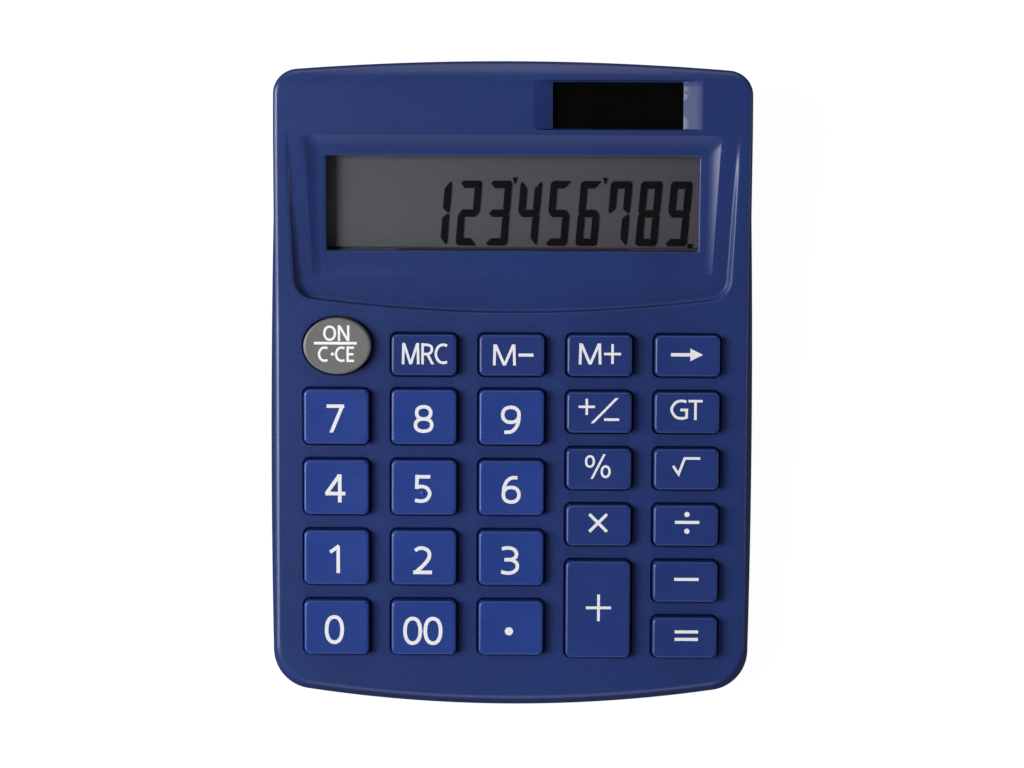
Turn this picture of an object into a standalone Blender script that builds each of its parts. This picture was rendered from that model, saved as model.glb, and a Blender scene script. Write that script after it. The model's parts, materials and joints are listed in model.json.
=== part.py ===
"""Desk calculator with a sloping keypad deck, a recessed display and a solar panel.

Frame: metres, +Z up, +Y towards the display end, -Y towards the user.
The origin is on the surface that the calculator stands on, under its middle.
"""

from math import atan, atan2, cos, hypot, pi, radians, sin, sqrt, tan

import bmesh
import bpy
from mathutils import Matrix, Vector

MM = 0.001
GAP = 0.3 * MM                     # clearance between neighbouring pieces

# Plan outline at the parting line, and at the top edge of the upper shell
BODY_WIDTH = 106.6 * MM
BODY_LENGTH = 141.0 * MM
SIDE_RADIUS = 2212 * MM
REAR_RADIUS = 565 * MM
FRONT_RADIUS = 310 * MM
REAR_CORNER = 5.5 * MM
FRONT_CORNER = 9.0 * MM
TOP_EDGE_WIDTH = 103.2 * MM
TOP_EDGE_REAR = 69.9 * MM
TOP_EDGE_FRONT = -69.0 * MM
TOP_SIDE_RADIUS = 40.0             # the top edge is all but straight along the sides

# Heights
FOOT_PROUD = 1.0 * MM
PARTING = 7.2 * MM
WALL = 2.0 * MM
FLOOR_THICKNESS = 1.6 * MM
EDGE_ROUND = 1.4 * MM
BASE_DRAFT = 1.3 * MM              # how far the base narrows from parting line to underside

# Side profile of the upper shell: keypad deck, shoulder beside the display, rear band
DECK_SLOPE = radians(5.5)
DECK_FRONT_Y = -69.0 * MM
DECK_FRONT_Z = 11.2 * MM
BEND_Y = 16.5 * MM
SHOULDER_END_Y = 54.0 * MM
SHOULDER_END_Z = 26.1 * MM
REAR_BAND_Y = 66.0 * MM
REAR_BAND_Z = 27.0 * MM
REAR_ROUND_Y = 69.0 * MM
REAR_ROUND_Z = 25.6 * MM

# Display recess: a floor that tips more steeply than the shoulder beside it
RECESS_STEP = 2.0 * MM             # depth of the floor below the deck at its lower edge
RECESS_HALF_TOP = 48.6 * MM
RECESS_HALF_LOW = 47.0 * MM
RECESS_LOW_Y = 16.2 * MM
RECESS_LOW_RADIUS = 340 * MM
RECESS_CORNER = 4.5 * MM

# Frame dished into that floor, and the window in it
FRAME_TOP_Y = 54.0 * MM
FRAME_LOW_Y = 24.0 * MM
FRAME_DEPTH = 1.0 * MM             # at its upper end; it runs out to nothing at its lower end
FRAME_HALF_TOP = 45.0 * MM
FRAME_HALF_LOW = 43.6 * MM
WINDOW_Y = 39.35 * MM
WINDOW_SIZE = (80.7 * MM, 20.8 * MM)
WINDOW_CORNER = 0.6 * MM

PANE_SIZE = (83.6 * MM, 24.0 * MM, 1.2 * MM)
LCD_SIZE = (84.4 * MM, 25.0 * MM, 2.2 * MM)
LCD_TOP = -3.9 * MM
HOLDER_WALL = 1.3 * MM
HOLDER_FLOOR = 1.4 * MM
HOLDER_TAB = (5.2 * MM, 7.0 * MM, 1.4 * MM)
TAB_OVERLAP = 0.3 * MM
RIBBON_WIDTH = 50.0 * MM
RIBBON_THICKNESS = 0.3 * MM

# Solar panel in its ramped recess
SOLAR_AT = (22.6 * MM, 60.3 * MM)
SOLAR_OPENING = (28.1 * MM, 10.3 * MM)
SOLAR_RAMP = 3.9 * MM
SOLAR_RECESS = 1.0 * MM
SOLAR_LEDGE = 0.8 * MM
SOLAR_PLATE = (31.4 * MM, 12.8 * MM, 1.2 * MM)

# Keypad, measured along the deck from the point above the origin
COLUMN_PITCH = 19.05 * MM
DIGIT_ROW_PITCH = 15.45 * MM
DIGIT_LOWEST_ROW = -53.1 * MM
FUNCTION_ROW_PITCH = 12.38 * MM
FUNCTION_LOWEST_ROW = -55.1 * MM
DIGIT_KEY = (14.3 * MM, 12.1 * MM)
FUNCTION_KEY = (14.3 * MM, 9.1 * MM)
OVAL_KEY = (14.9 * MM, 12.4 * MM)
OVAL_KEY_AT = (-37.9 * MM, 8.65 * MM)
KEY_CORNER = 1.3 * MM
KEY_RISE = 2.2 * MM
KEY_TOP_ROUND = 0.45 * MM
KEY_FLANGE = 0.6 * MM              # how far the flange reaches past the hole
KEY_FLANGE_THICKNESS = 0.9 * MM

# Dome sheet and circuit board, as depths below the deck's outer face
DOME_HEIGHT = 1.5 * MM
DOME_BASE_RADIUS = 3.6 * MM
DOME_TOP_RADIUS = 2.1 * MM
DOME_SKIN = 0.6 * MM
SHEET_THICKNESS = 0.7 * MM
SHEET_HALF_WIDTH = 47.0 * MM
SHEET_FRONT = -59.5 * MM
SHEET_REAR = 12.0 * MM
BOARD_THICKNESS = 1.2 * MM
BOARD_HALF_WIDTH = 47.4 * MM
BOARD_FRONT = -59.5 * MM
BOARD_REAR = 17.3 * MM
BOARD_TONGUE_HALF = 32.0 * MM
BOARD_TONGUE_FRONT = -65.7 * MM
CHIP_SIZE = (12.0 * MM, 12.0 * MM, 1.5 * MM)
CHIP_AT = (12.0 * MM, -8.0 * MM)

# Screws: head radius, head height, shank radius
CASE_SCREW = (2.0 * MM, 1.5 * MM, 1.1 * MM)
SMALL_SCREW = (1.9 * MM, 1.2 * MM, 0.9 * MM)
BOARD_SCREWS = ((-28.6 * MM, -63.9 * MM), (28.6 * MM, -63.9 * MM),
                (-28.6 * MM, 14.9 * MM), (28.6 * MM, 14.9 * MM))
CASE_SCREWS = ((-40.0 * MM, -63.0 * MM), (40.0 * MM, -63.0 * MM),
               (-45.0 * MM, 63.2 * MM), (45.0 * MM, 63.2 * MM))
BOSS_RADIUS = 2.3 * MM
CASE_BOSS_RADIUS = 2.4 * MM
POST_RADIUS = 3.2 * MM
COUNTERBORE_DEPTH = 3.4 * MM

# Feet
FOOT_RADIUS = 4.5 * MM
FOOT_SUNK = 0.7 * MM
FEET = ((-42.0 * MM, -50.0 * MM), (42.0 * MM, -50.0 * MM),
        (-42.0 * MM, 50.0 * MM), (42.0 * MM, 50.0 * MM))

# Battery bay at the rear of the base
CELL_RADIUS = 5.8 * MM
CELL_HEIGHT = 5.4 * MM
CELL_AT = (-18.0 * MM, 52.0 * MM)
COVER_HALF_WIDTH = 11.0 * MM
COVER_TONGUE = 1.2 * MM
COVER_FRONT_Y = 38.0 * MM
COVER_OUTER = 0.8 * MM             # thickness of the part of the cover below its tongues
COVER_INNER = 1.0 * MM             # thickness of the part that carries the tongues
BAY_PAD_TOP = 4.4 * MM
WELL_INNER = (13.0 * MM, 15.0 * MM)
WELL_CEILING = 10.0 * MM
WELL_WALL = 1.3 * MM
CONTACT_THICKNESS = 0.4 * MM
CONTACT_WIDTH = 4.0 * MM
LEAD_RADIUS = 0.5 * MM

CORNER_STEPS = 4


def clear_scene():
    """Remove whatever the file holds."""
    for item in list(bpy.data.objects):
        bpy.data.objects.remove(item, do_unlink=True)


def make_material(name, color, roughness, metallic=0.0, alpha=1.0):
    """A Principled BSDF material in linear colour."""
    material = bpy.data.materials.new(name)
    material.use_nodes = True
    shader = material.node_tree.nodes["Principled BSDF"]
    shader.inputs["Base Color"].default_value = (*color, 1.0)
    shader.inputs["Roughness"].default_value = roughness
    shader.inputs["Metallic"].default_value = metallic
    shader.inputs["Alpha"].default_value = alpha
    material.diffuse_color = (*color, alpha)
    return material


# ---------------------------------------------------------------- mesh helpers

def object_from(name, shape, material=None, parent=None, location=(0, 0, 0), rotation=(0, 0, 0)):
    """Put a bmesh into a new object, with faces turned outwards."""
    bmesh.ops.recalc_face_normals(shape, faces=shape.faces)
    mesh = bpy.data.meshes.new(name)
    shape.to_mesh(mesh)
    shape.free()
    item = bpy.data.objects.new(name, mesh)
    bpy.context.collection.objects.link(item)
    if material:
        mesh.materials.append(material)
    item.parent = parent
    item.location = location
    item.rotation_euler = rotation
    return item


def empty(name, location, tilt=0.0):
    """An empty that stands for a tilted working plane."""
    item = bpy.data.objects.new(name, None)
    bpy.context.collection.objects.link(item)
    item.location = location
    item.rotation_euler = (tilt, 0, 0)
    return item


def loft(rings):
    """Closed bmesh through rings of equal length, with a face on each end."""
    shape = bmesh.new()
    rows = [[shape.verts.new(point) for point in ring] for ring in rings]
    count = len(rows[0])
    for low, high in zip(rows, rows[1:]):
        for i in range(count):
            j = (i + 1) % count
            shape.faces.new((low[i], low[j], high[j], high[i]))
    shape.faces.new(rows[0])
    shape.faces.new(rows[-1])
    return shape


def prism(outline, low, high):
    """Plan outline extruded from one height to another."""
    return loft([[(x, y, low) for x, y in outline], [(x, y, high) for x, y in outline]])


def side_prism(profile, half_width):
    """(y, z) profile extruded across the width, from -half_width to half_width."""
    return loft([[(-half_width, y, z) for y, z in profile], [(half_width, y, z) for y, z in profile]])


def block(size, centre=(0, 0, 0)):
    """Box of a given size about a centre."""
    shape = bmesh.new()
    bmesh.ops.create_cube(shape, size=1.0)
    bmesh.ops.scale(shape, vec=size, verts=shape.verts)
    bmesh.ops.translate(shape, vec=centre, verts=shape.verts)
    return shape


def add_rod(shape, radius, low, high, at=(0, 0), steps=12, top_radius=None):
    """Add an upright rod or cone to a bmesh."""
    made = bmesh.ops.create_cone(
        shape, cap_ends=True, segments=steps, radius1=radius,
        radius2=radius if top_radius is None else top_radius, depth=high - low)
    bmesh.ops.translate(shape, vec=(at[0], at[1], (low + high) / 2), verts=made["verts"])


def rods(places, radius, low, high, steps=12, top_radius=None):
    """Upright rods of one size at several places, as one set of separate shells."""
    shape = bmesh.new()
    for place in places:
        add_rod(shape, radius, low, high, place, steps, top_radius)
    return shape


def rounded_rectangle(width, depth, radius, at=(0, 0), steps=2):
    """Counter-clockwise outline with quarter-circle corners."""
    points = []
    corners = ((1, 1, 0), (-1, 1, 90), (-1, -1, 180), (1, -1, 270))
    for sx, sy, start in corners:
        cx = at[0] + sx * (width / 2 - radius)
        cy = at[1] + sy * (depth / 2 - radius)
        for step in range(steps + 1):
            angle = radians(start + 90 * step / steps)
            points.append((cx + radius * cos(angle), cy + radius * sin(angle)))
    return points


def oval(width, depth, at=(0, 0), steps=24):
    """Outline of an ellipse."""
    turns = [2 * pi * i / steps for i in range(steps)]
    return [(at[0] + width / 2 * cos(t), at[1] + depth / 2 * sin(t)) for t in turns]


def combine(target, tool, operation="DIFFERENCE"):
    """Boolean modifier with a hidden tool object."""
    tool.hide_render = True
    tool.display_type = "WIRE"
    tool.hide_set(True)
    step = target.modifiers.new(tool.name, "BOOLEAN")
    step.operation = operation
    step.solver = "EXACT"
    step.object = tool


def cutter(name, shape, parent=None, location=(0, 0, 0), rotation=(0, 0, 0)):
    """Tool object for a Boolean, with no material of its own."""
    return object_from("cut_" + name, shape, None, parent, location, rotation)


# ---------------------------------------------------------------- plan outlines

def circle_meeting(first, first_radius, second, second_radius, nearest):
    """The crossing of two circles that lies nearest to a given point."""
    dx = second[0] - first[0]
    dy = second[1] - first[1]
    apart = hypot(dx, dy)
    along = (apart ** 2 + first_radius ** 2 - second_radius ** 2) / (2 * apart)
    across = sqrt(first_radius ** 2 - along ** 2)
    foot = (first[0] + along * dx / apart, first[1] + along * dy / apart)
    sides = [(foot[0] - s * across * dy / apart, foot[1] + s * across * dx / apart) for s in (1, -1)]
    return min(sides, key=lambda p: hypot(p[0] - nearest[0], p[1] - nearest[1]))


def arc_points(centre, radius, start, end, steps):
    """Points along an arc, its last point left out."""
    angles = [start + (end - start) * i / steps for i in range(steps)]
    return [(centre[0] + radius * cos(a), centre[1] + radius * sin(a)) for a in angles]


def body_outline(inset=0.0, half_width=BODY_WIDTH / 2, side_radius=SIDE_RADIUS,
                 rear=BODY_LENGTH / 2, front=-BODY_LENGTH / 2):
    """Outline of four gentle arcs joined by round corners, moved inwards by inset."""
    right = (half_width - side_radius, 0)
    back = (0, rear - REAR_RADIUS)
    fore = (0, front + FRONT_RADIUS)
    rear_centre = circle_meeting(right, side_radius - REAR_CORNER, back, REAR_RADIUS - REAR_CORNER,
                                 (half_width, rear))
    front_centre = circle_meeting(right, side_radius - FRONT_CORNER, fore, FRONT_RADIUS - FRONT_CORNER,
                                  (half_width, front))
    angle_from = lambda centre, point: atan2(point[1] - centre[1], point[0] - centre[0])
    side_start = angle_from(right, front_centre)
    side_end = angle_from(right, rear_centre)
    rear_start = angle_from(back, rear_centre)
    front_end = angle_from(fore, front_centre)
    rear_round = REAR_CORNER - inset
    front_round = FRONT_CORNER - inset
    half = arc_points(right, side_radius - inset, side_start, side_end, 6)
    half += arc_points(rear_centre, rear_round, side_end, rear_start, CORNER_STEPS)
    half += arc_points(back, REAR_RADIUS - inset, rear_start, pi / 2, 5)
    front_half = arc_points(fore, FRONT_RADIUS - inset, -pi / 2, front_end, 6)
    front_half += arc_points(front_centre, front_round, front_end, side_start, CORNER_STEPS)
    right_side = front_half + half
    top_middle = (0, rear - inset)
    left_side = [(-x, y) for x, y in reversed(right_side[1:])]
    return right_side + [top_middle] + left_side


def deck_height(y):
    """Height of the keypad deck's outer face."""
    return DECK_FRONT_Z + (y - DECK_FRONT_Y) * tan(DECK_SLOPE)


BEND_Z = deck_height(BEND_Y)
SHOULDER_RISE = (SHOULDER_END_Z - BEND_Z) / (SHOULDER_END_Y - BEND_Y)
FLOOR_LOW_Z = BEND_Z - RECESS_STEP
FLOOR_RISE = (SHOULDER_END_Z - FLOOR_LOW_Z) / (SHOULDER_END_Y - BEND_Y)
FRAME_RISE = FLOOR_RISE - FRAME_DEPTH / (FRAME_TOP_Y - FRAME_LOW_Y)


def crown_height(y):
    """Height of the upper shell's outer face beside the recesses."""
    if y < BEND_Y:
        return deck_height(y)
    if y < SHOULDER_END_Y:
        return BEND_Z + (y - BEND_Y) * SHOULDER_RISE
    band_rise = (REAR_BAND_Z - SHOULDER_END_Z) / (REAR_BAND_Y - SHOULDER_END_Y)
    return SHOULDER_END_Z + (min(y, REAR_BAND_Y) - SHOULDER_END_Y) * band_rise


def floor_height(y):
    """Height of the display recess's floor."""
    return FLOOR_LOW_Z + (y - BEND_Y) * FLOOR_RISE


def frame_height(y):
    """Height of the dished frame around the window."""
    return floor_height(FRAME_LOW_Y) + (y - FRAME_LOW_Y) * FRAME_RISE


# ---------------------------------------------------------------- shells

HIGH = 45 * MM


def flank_rings(inset, low):
    """Base ring at height low, and the ring that its straight flanks reach far above the top."""
    base = body_outline(inset)
    top = body_outline(inset, TOP_EDGE_WIDTH / 2, TOP_SIDE_RADIUS, TOP_EDGE_REAR, TOP_EDGE_FRONT)
    low_ring = []
    high_ring = []
    for (bx, by), (tx, ty) in zip(base, top):
        rise = crown_height(ty) - PARTING
        for ring, height in ((low_ring, low), (high_ring, HIGH)):
            share = (height - PARTING) / rise
            ring.append((bx + (tx - bx) * share, by + (ty - by) * share, height))
    return [low_ring, high_ring]


def crown_profile():
    """Side profile of the upper shell's outer face, closed far below."""
    below = -10 * MM
    reach = 90 * MM
    return [(-reach, below), (-reach, deck_height(-reach)), (BEND_Y, BEND_Z),
            (SHOULDER_END_Y, SHOULDER_END_Z), (REAR_BAND_Y, REAR_BAND_Z),
            (REAR_ROUND_Y, REAR_ROUND_Z), (reach, REAR_ROUND_Z - (reach - REAR_ROUND_Y)), (reach, below)]


def ceiling_profile():
    """Side profile of the hollow inside the upper shell."""
    below = -10 * MM
    reach = 90 * MM
    step_y = RECESS_LOW_Y - 1.2 * MM
    solar_y = SHOULDER_END_Y + 1.5 * MM
    drop = WALL / cos(DECK_SLOPE)
    frame_drop = WALL / cos(atan(FRAME_RISE))
    rear_top = REAR_BAND_Z - WALL
    return [(-reach, below), (-reach, deck_height(-reach) - drop),
            (step_y - 1.5 * MM, deck_height(step_y - 1.5 * MM) - drop),
            (step_y, frame_height(step_y) - frame_drop),
            (SHOULDER_END_Y, frame_height(SHOULDER_END_Y) - frame_drop),
            (solar_y, rear_top - 1.2 * MM), (REAR_BAND_Y, rear_top),
            (REAR_ROUND_Y - WALL, REAR_ROUND_Z - WALL), (reach, REAR_ROUND_Z - 24 * MM), (reach, below)]


def recess_outline(low_y, top_y, half_low, half_top, low_radius, corner):
    """Tapered outline with a gently curved lower edge and round lower corners."""
    corner_x = half_low - corner
    corner_y = low_y + corner_x ** 2 / (2 * low_radius) + corner
    right = [(half_top, top_y)]
    right += [(corner_x + corner * cos(a), corner_y + corner * sin(a))
              for a in (0.0, radians(-30), radians(-60))]
    steps = 6
    bottom = [(corner_x * (1 - i / steps), low_y + (corner_x * (1 - i / steps)) ** 2 / (2 * low_radius))
              for i in range(steps)]
    half = right + bottom
    return half + [(0, low_y)] + [(-x, y) for x, y in reversed(half)]


def recess_cutter(name, outline, height, ceiling=HIGH):
    """Plan outline cut down to a sloping floor given by a height function."""
    low = [(x, y, height(y)) for x, y in outline]
    high = [(x, y, ceiling) for x, y in outline]
    return cutter(name, loft([low, high]))


def key_outline(size, at, grow=0.0):
    """Outline of a rounded rectangular key, grown or shrunk all round."""
    return rounded_rectangle(size[0] + 2 * grow, size[1] + 2 * grow, KEY_CORNER + grow, at)


def oval_outline(size, at, grow=0.0):
    """Outline of the oval key, grown or shrunk all round."""
    return oval(size[0] + 2 * grow, size[1] + 2 * grow, at)


def key_plan():
    """Name, outline function, size, place on the deck and material name of each key."""
    column = [COLUMN_PITCH * (i - 2) for i in range(5)]
    digit_row = [DIGIT_LOWEST_ROW + DIGIT_ROW_PITCH * i for i in range(4)]
    function_row = [FUNCTION_LOWEST_ROW + FUNCTION_ROW_PITCH * i for i in range(6)]
    plan = []

    def add(name, size, x, y, material, outline=key_outline):
        plan.append((name, outline, size, (x, y), material))

    for digit in range(1, 10):
        row = (digit - 1) // 3
        add(f"key_{digit}", DIGIT_KEY, column[(digit - 1) % 3], digit_row[row + 1], "digit_key")
    add("key_0", DIGIT_KEY, column[0], digit_row[0], "digit_key")
    add("key_00", DIGIT_KEY, column[1], digit_row[0], "digit_key")
    add("key_point", DIGIT_KEY, column[2], digit_row[0], "digit_key")
    add("key_on_clear", OVAL_KEY, *OVAL_KEY_AT, "clear_key", oval_outline)
    for name, i in (("memory_recall", 1), ("memory_minus", 2), ("memory_plus", 3), ("backspace", 4)):
        add("key_" + name, FUNCTION_KEY, column[i], function_row[5], "function_key")
    for name, i in (("multiply", 2), ("percent", 3), ("sign", 4)):
        add("key_" + name, FUNCTION_KEY, column[3], function_row[i], "function_key")
    for name, i in (("equals", 0), ("minus", 1), ("divide", 2), ("root", 3), ("grand_total", 4)):
        add("key_" + name, FUNCTION_KEY, column[4], function_row[i], "function_key")
    tall = (FUNCTION_KEY[0], FUNCTION_KEY[1] + FUNCTION_ROW_PITCH)
    add("key_plus", tall, column[3], (function_row[0] + function_row[1]) / 2, "function_key")
    return plan


def make_upper_case(deck, glass, solar, material):
    """Upper shell: hollow, with its holes, recesses and screw bosses."""
    shell = object_from("upper_case", loft(flank_rings(0, PARTING + GAP / 2)), material)
    crown = cutter("crown", side_prism(crown_profile(), 80 * MM))
    combine(shell, crown, "INTERSECT")
    edge = shell.modifiers.new("edge_round", "BEVEL")
    edge.limit_method = "ANGLE"
    edge.angle_limit = radians(38)
    edge.width = EDGE_ROUND
    edge.segments = 3
    edge.use_clamp_overlap = True
    edge.harden_normals = False

    hollow = cutter("hollow", loft(flank_rings(WALL, PARTING - 4 * MM)))
    combine(hollow, cutter("ceiling", side_prism(ceiling_profile(), 80 * MM)), "INTERSECT")
    combine(shell, hollow)
    rebate = prism(body_outline(WALL - 0.8 * MM), PARTING - 3 * MM, PARTING + 1.6 * MM)
    combine(shell, cutter("rebate", rebate))

    bosses = rods(BOARD_SCREWS, BOSS_RADIUS, SHEET_BASE_BOTTOM, -WALL / 2)
    combine(shell, cutter("board_bosses", bosses, deck), "UNION")
    posts = bmesh.new()
    for x, y in CASE_SCREWS:
        add_rod(posts, CASE_BOSS_RADIUS, PARTING + GAP, crown_height(y) - WALL / 2, (x, y))
    combine(shell, cutter("case_bosses", posts), "UNION")
    tabs = rods(HOLDER_SCREWS, 2.0 * MM, LCD_TOP + GAP, -0.8 * MM)
    combine(shell, cutter("holder_bosses", tabs, glass), "UNION")

    outline = recess_outline(RECESS_LOW_Y, SHOULDER_END_Y + 0.5 * MM, RECESS_HALF_LOW, RECESS_HALF_TOP,
                             RECESS_LOW_RADIUS, RECESS_CORNER)
    combine(shell, recess_cutter("display_recess", outline, floor_height))
    frame = recess_outline(FRAME_LOW_Y + 1.0 * MM, FRAME_TOP_Y, FRAME_HALF_LOW, FRAME_HALF_TOP,
                           20.0, 1.5 * MM)
    combine(shell, recess_cutter("frame_recess", frame, frame_height))
    window = prism(rounded_rectangle(*WINDOW_SIZE, WINDOW_CORNER), -6 * MM, 6 * MM)
    combine(shell, cutter("window", window, glass))

    half = SOLAR_OPENING[0] / 2
    ramp = [(-half - SOLAR_RAMP, 0), (-half, -SOLAR_RECESS), (half, -SOLAR_RECESS), (half + SOLAR_RAMP, 0),
            (half + SOLAR_RAMP, 3 * MM), (-half - SOLAR_RAMP, 3 * MM)]
    depth = SOLAR_OPENING[1] / 2
    ramped = loft([[(x, -depth, z) for x, z in ramp], [(x, depth, z) for x, z in ramp]])
    combine(shell, cutter("solar_recess", ramped, solar))
    opening = block((SOLAR_OPENING[0], SOLAR_OPENING[1], 12 * MM))
    combine(shell, cutter("solar_opening", opening, solar))
    pocket_top = -SOLAR_RECESS - SOLAR_LEDGE
    pocket = block((SOLAR_PLATE[0] + 2 * GAP, SOLAR_PLATE[1] + 2 * GAP, 4 * MM), (0, 0, pocket_top - 2 * MM))
    combine(shell, cutter("solar_pocket", pocket, solar))

    holes = bmesh.new()
    for name, outline_of, size, at, _ in KEYS:
        hole = outline_of(size, at, GAP)
        rows = [[holes.verts.new((x, y, z)) for x, y in hole] for z in (-5 * MM, 3 * MM)]
        for i in range(len(hole)):
            j = (i + 1) % len(hole)
            holes.faces.new((rows[0][i], rows[0][j], rows[1][j], rows[1][i]))
        holes.faces.new(rows[0])
        holes.faces.new(rows[1])
    combine(shell, cutter("key_holes", holes, deck))
    flange_room = prism(oval_outline(OVAL_KEY, OVAL_KEY_AT, 2 * GAP + KEY_FLANGE), -6 * MM, -WALL)
    combine(shell, cutter("oval_flange_room", flange_room, deck))

    board_holes = rods(BOARD_SCREWS, SMALL_SCREW[2] + GAP, SHEET_BASE_BOTTOM - 2 * MM, -1.2 * MM, 8)
    combine(shell, cutter("board_screw_holes", board_holes, deck))
    case_holes = bmesh.new()
    for i, (x, y) in enumerate(CASE_SCREWS):
        add_rod(case_holes, CASE_SCREW[2] + GAP, PARTING - 2 * MM, CASE_SCREW_TIPS[i] + GAP, (x, y), 8)
    combine(shell, cutter("case_screw_holes", case_holes))
    holder_holes = rods(HOLDER_SCREWS, SMALL_SCREW[2] + GAP, LCD_TOP - 2 * MM, HOLDER_SCREW_TIP + GAP, 8)
    combine(shell, cutter("holder_screw_holes", holder_holes, glass))
    return shell


def base_body(low=FOOT_PROUD, high=PARTING - GAP / 2, inset=0.0):
    """Solid shape of the base, narrowing to its underside through a rounded edge."""
    levels = ((0.0, high), (0.35, low + 2.2 * MM), (0.62, low + 0.8 * MM), (1.0, low))
    rings = [[(x, y, z) for x, y in body_outline(inset + BASE_DRAFT * share)] for share, z in levels]
    return loft(rings)


def cover_profile(grow=0.0):
    """T-shaped section of the battery cover, wide half uppermost, as (x, z) points."""
    low = -2 * MM
    step = FOOT_PROUD + COVER_OUTER - grow
    top = FOOT_PROUD + COVER_OUTER + COVER_INNER + grow
    half = COVER_HALF_WIDTH + grow
    wide = COVER_HALF_WIDTH + COVER_TONGUE + grow
    right = [(half, low), (half, step), (wide, step), (wide, top)]
    profile = right + [(-x, z) for x, z in reversed(right)]
    return [(CELL_AT[0] + x, z) for x, z in profile]


def cover_prism(front, grow=0.0):
    """The cover's section carried from a front plane out past the rear wall."""
    profile = cover_profile(grow)
    far = 85 * MM
    return loft([[(x, front, z) for x, z in profile], [(x, far, z) for x, z in profile]])


def make_lower_case(material):
    """Base tray with its tongue, screw posts, battery well, foot recesses and cover track."""
    tray = object_from("lower_case", base_body(), material)
    inside = prism(body_outline(WALL + 0.9 * MM), FOOT_PROUD + FLOOR_THICKNESS, 20 * MM)
    combine(tray, cutter("tray_hollow", inside))
    lip = loft([[(x, y, z) for x, y in body_outline(WALL - 0.8 * MM + GAP)]
                for z in (PARTING - 1.5 * MM, PARTING + 1.2 * MM)])
    lip_tool = cutter("lip", lip)
    lip_inside = prism(body_outline(WALL + 0.9 * MM), PARTING - 4 * MM, PARTING + 4 * MM)
    combine(lip_tool, cutter("lip_inside", lip_inside))
    boss_room = rods(CASE_SCREWS, CASE_BOSS_RADIUS + GAP, PARTING, PARTING + 4 * MM, 12)
    combine(lip_tool, cutter("lip_boss_room", boss_room))
    combine(tray, lip_tool, "UNION")

    posts = rods(CASE_SCREWS, POST_RADIUS, FOOT_PROUD + 1.0 * MM, PARTING)
    combine(tray, cutter("screw_posts", posts), "UNION")
    pad_half = COVER_HALF_WIDTH + COVER_TONGUE + 2.0 * MM
    pad_front = COVER_FRONT_Y - 2.0 * MM
    pad_rear = BODY_LENGTH / 2 - WALL
    pad_floor = FOOT_PROUD + FLOOR_THICKNESS / 2
    pad = block((2 * pad_half, pad_rear - pad_front, BAY_PAD_TOP - pad_floor),
                (CELL_AT[0], (pad_front + pad_rear) / 2, (BAY_PAD_TOP + pad_floor) / 2))
    combine(tray, cutter("bay_pad", pad), "UNION")
    well_top = WELL_CEILING + WELL_WALL
    well = block((WELL_INNER[0] + 2 * WELL_WALL, WELL_INNER[1] + 2 * WELL_WALL, well_top - pad_floor),
                 (*CELL_AT, (well_top + pad_floor) / 2))
    combine(tray, cutter("well", well), "UNION")

    combine(tray, cutter("cover_track", cover_prism(COVER_FRONT_Y - GAP, GAP)))
    well_inside = block((*WELL_INNER, WELL_CEILING + 4 * MM), (*CELL_AT, WELL_CEILING / 2 - 2 * MM))
    combine(tray, cutter("well_inside", well_inside))
    slots = bmesh.new()
    for y in (POSITIVE_Y, NEGATIVE_Y):
        made = bmesh.ops.create_cube(slots, size=1.0)["verts"]
        size = (CONTACT_WIDTH + 2 * GAP, CONTACT_THICKNESS + 2 * GAP, 4 * MM)
        bmesh.ops.scale(slots, vec=size, verts=made)
        bmesh.ops.translate(slots, vec=(CELL_AT[0], y, WELL_CEILING + WELL_WALL / 2), verts=made)
    combine(tray, cutter("contact_slots", slots))

    sunk = rods(FEET, FOOT_RADIUS + GAP, FOOT_PROUD - 2 * MM, FOOT_PROUD + FOOT_SUNK + GAP)
    combine(tray, cutter("foot_recesses", sunk))
    bores = rods(CASE_SCREWS, CASE_SCREW[0] + GAP, FOOT_PROUD - 2 * MM, FOOT_PROUD + COUNTERBORE_DEPTH)
    combine(tray, cutter("counterbores", bores))
    holes = rods(CASE_SCREWS, CASE_SCREW[2] + GAP, FOOT_PROUD, PARTING + 3 * MM, 8)
    combine(tray, cutter("screw_holes", holes))
    return tray


def make_battery_cover(material):
    """Cover cut out of the base's own shape, with tongues that run in the track."""
    cover = object_from("battery_cover", cover_prism(COVER_FRONT_Y), material)
    combine(cover, cutter("base_shape", base_body()), "INTERSECT")
    grip = bmesh.new()
    for i in range(4):
        made = bmesh.ops.create_cube(grip, size=1.0)["verts"]
        bmesh.ops.scale(grip, vec=(12 * MM, 0.9 * MM, 0.8 * MM), verts=made)
        bmesh.ops.translate(grip, vec=(CELL_AT[0], 57 * MM + 2 * MM * i, FOOT_PROUD), verts=made)
    combine(cover, cutter("grip_grooves", grip))
    return cover


# ---------------------------------------------------------------- keys and what is under them

SHEET_TOP = -WALL - GAP - KEY_FLANGE_THICKNESS - GAP - DOME_HEIGHT
SHEET_BOTTOM = SHEET_TOP - SHEET_THICKNESS
BOARD_TOP = SHEET_BOTTOM - GAP
BOARD_BOTTOM = BOARD_TOP - BOARD_THICKNESS
SHEET_BASE_BOTTOM = BOARD_TOP + GAP


def make_key(name, outline_of, size, at, deck, material):
    """Key cap with a rounded top edge above the deck and a flange below it."""
    flange_top = -WALL - GAP
    flange_bottom = flange_top - KEY_FLANGE_THICKNESS
    reach = GAP + KEY_FLANGE
    rings = []
    for grow, height in ((reach, flange_bottom), (reach, flange_top), (0.0, flange_top),
                         (-0.1 * MM, KEY_RISE - KEY_TOP_ROUND), (-0.1 * MM - KEY_TOP_ROUND, KEY_RISE)):
        rings.append([(x, y, height) for x, y in outline_of(size, (0, 0), grow)])
    return object_from(name, loft(rings), material, deck, (at[0], at[1], 0))


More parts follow.
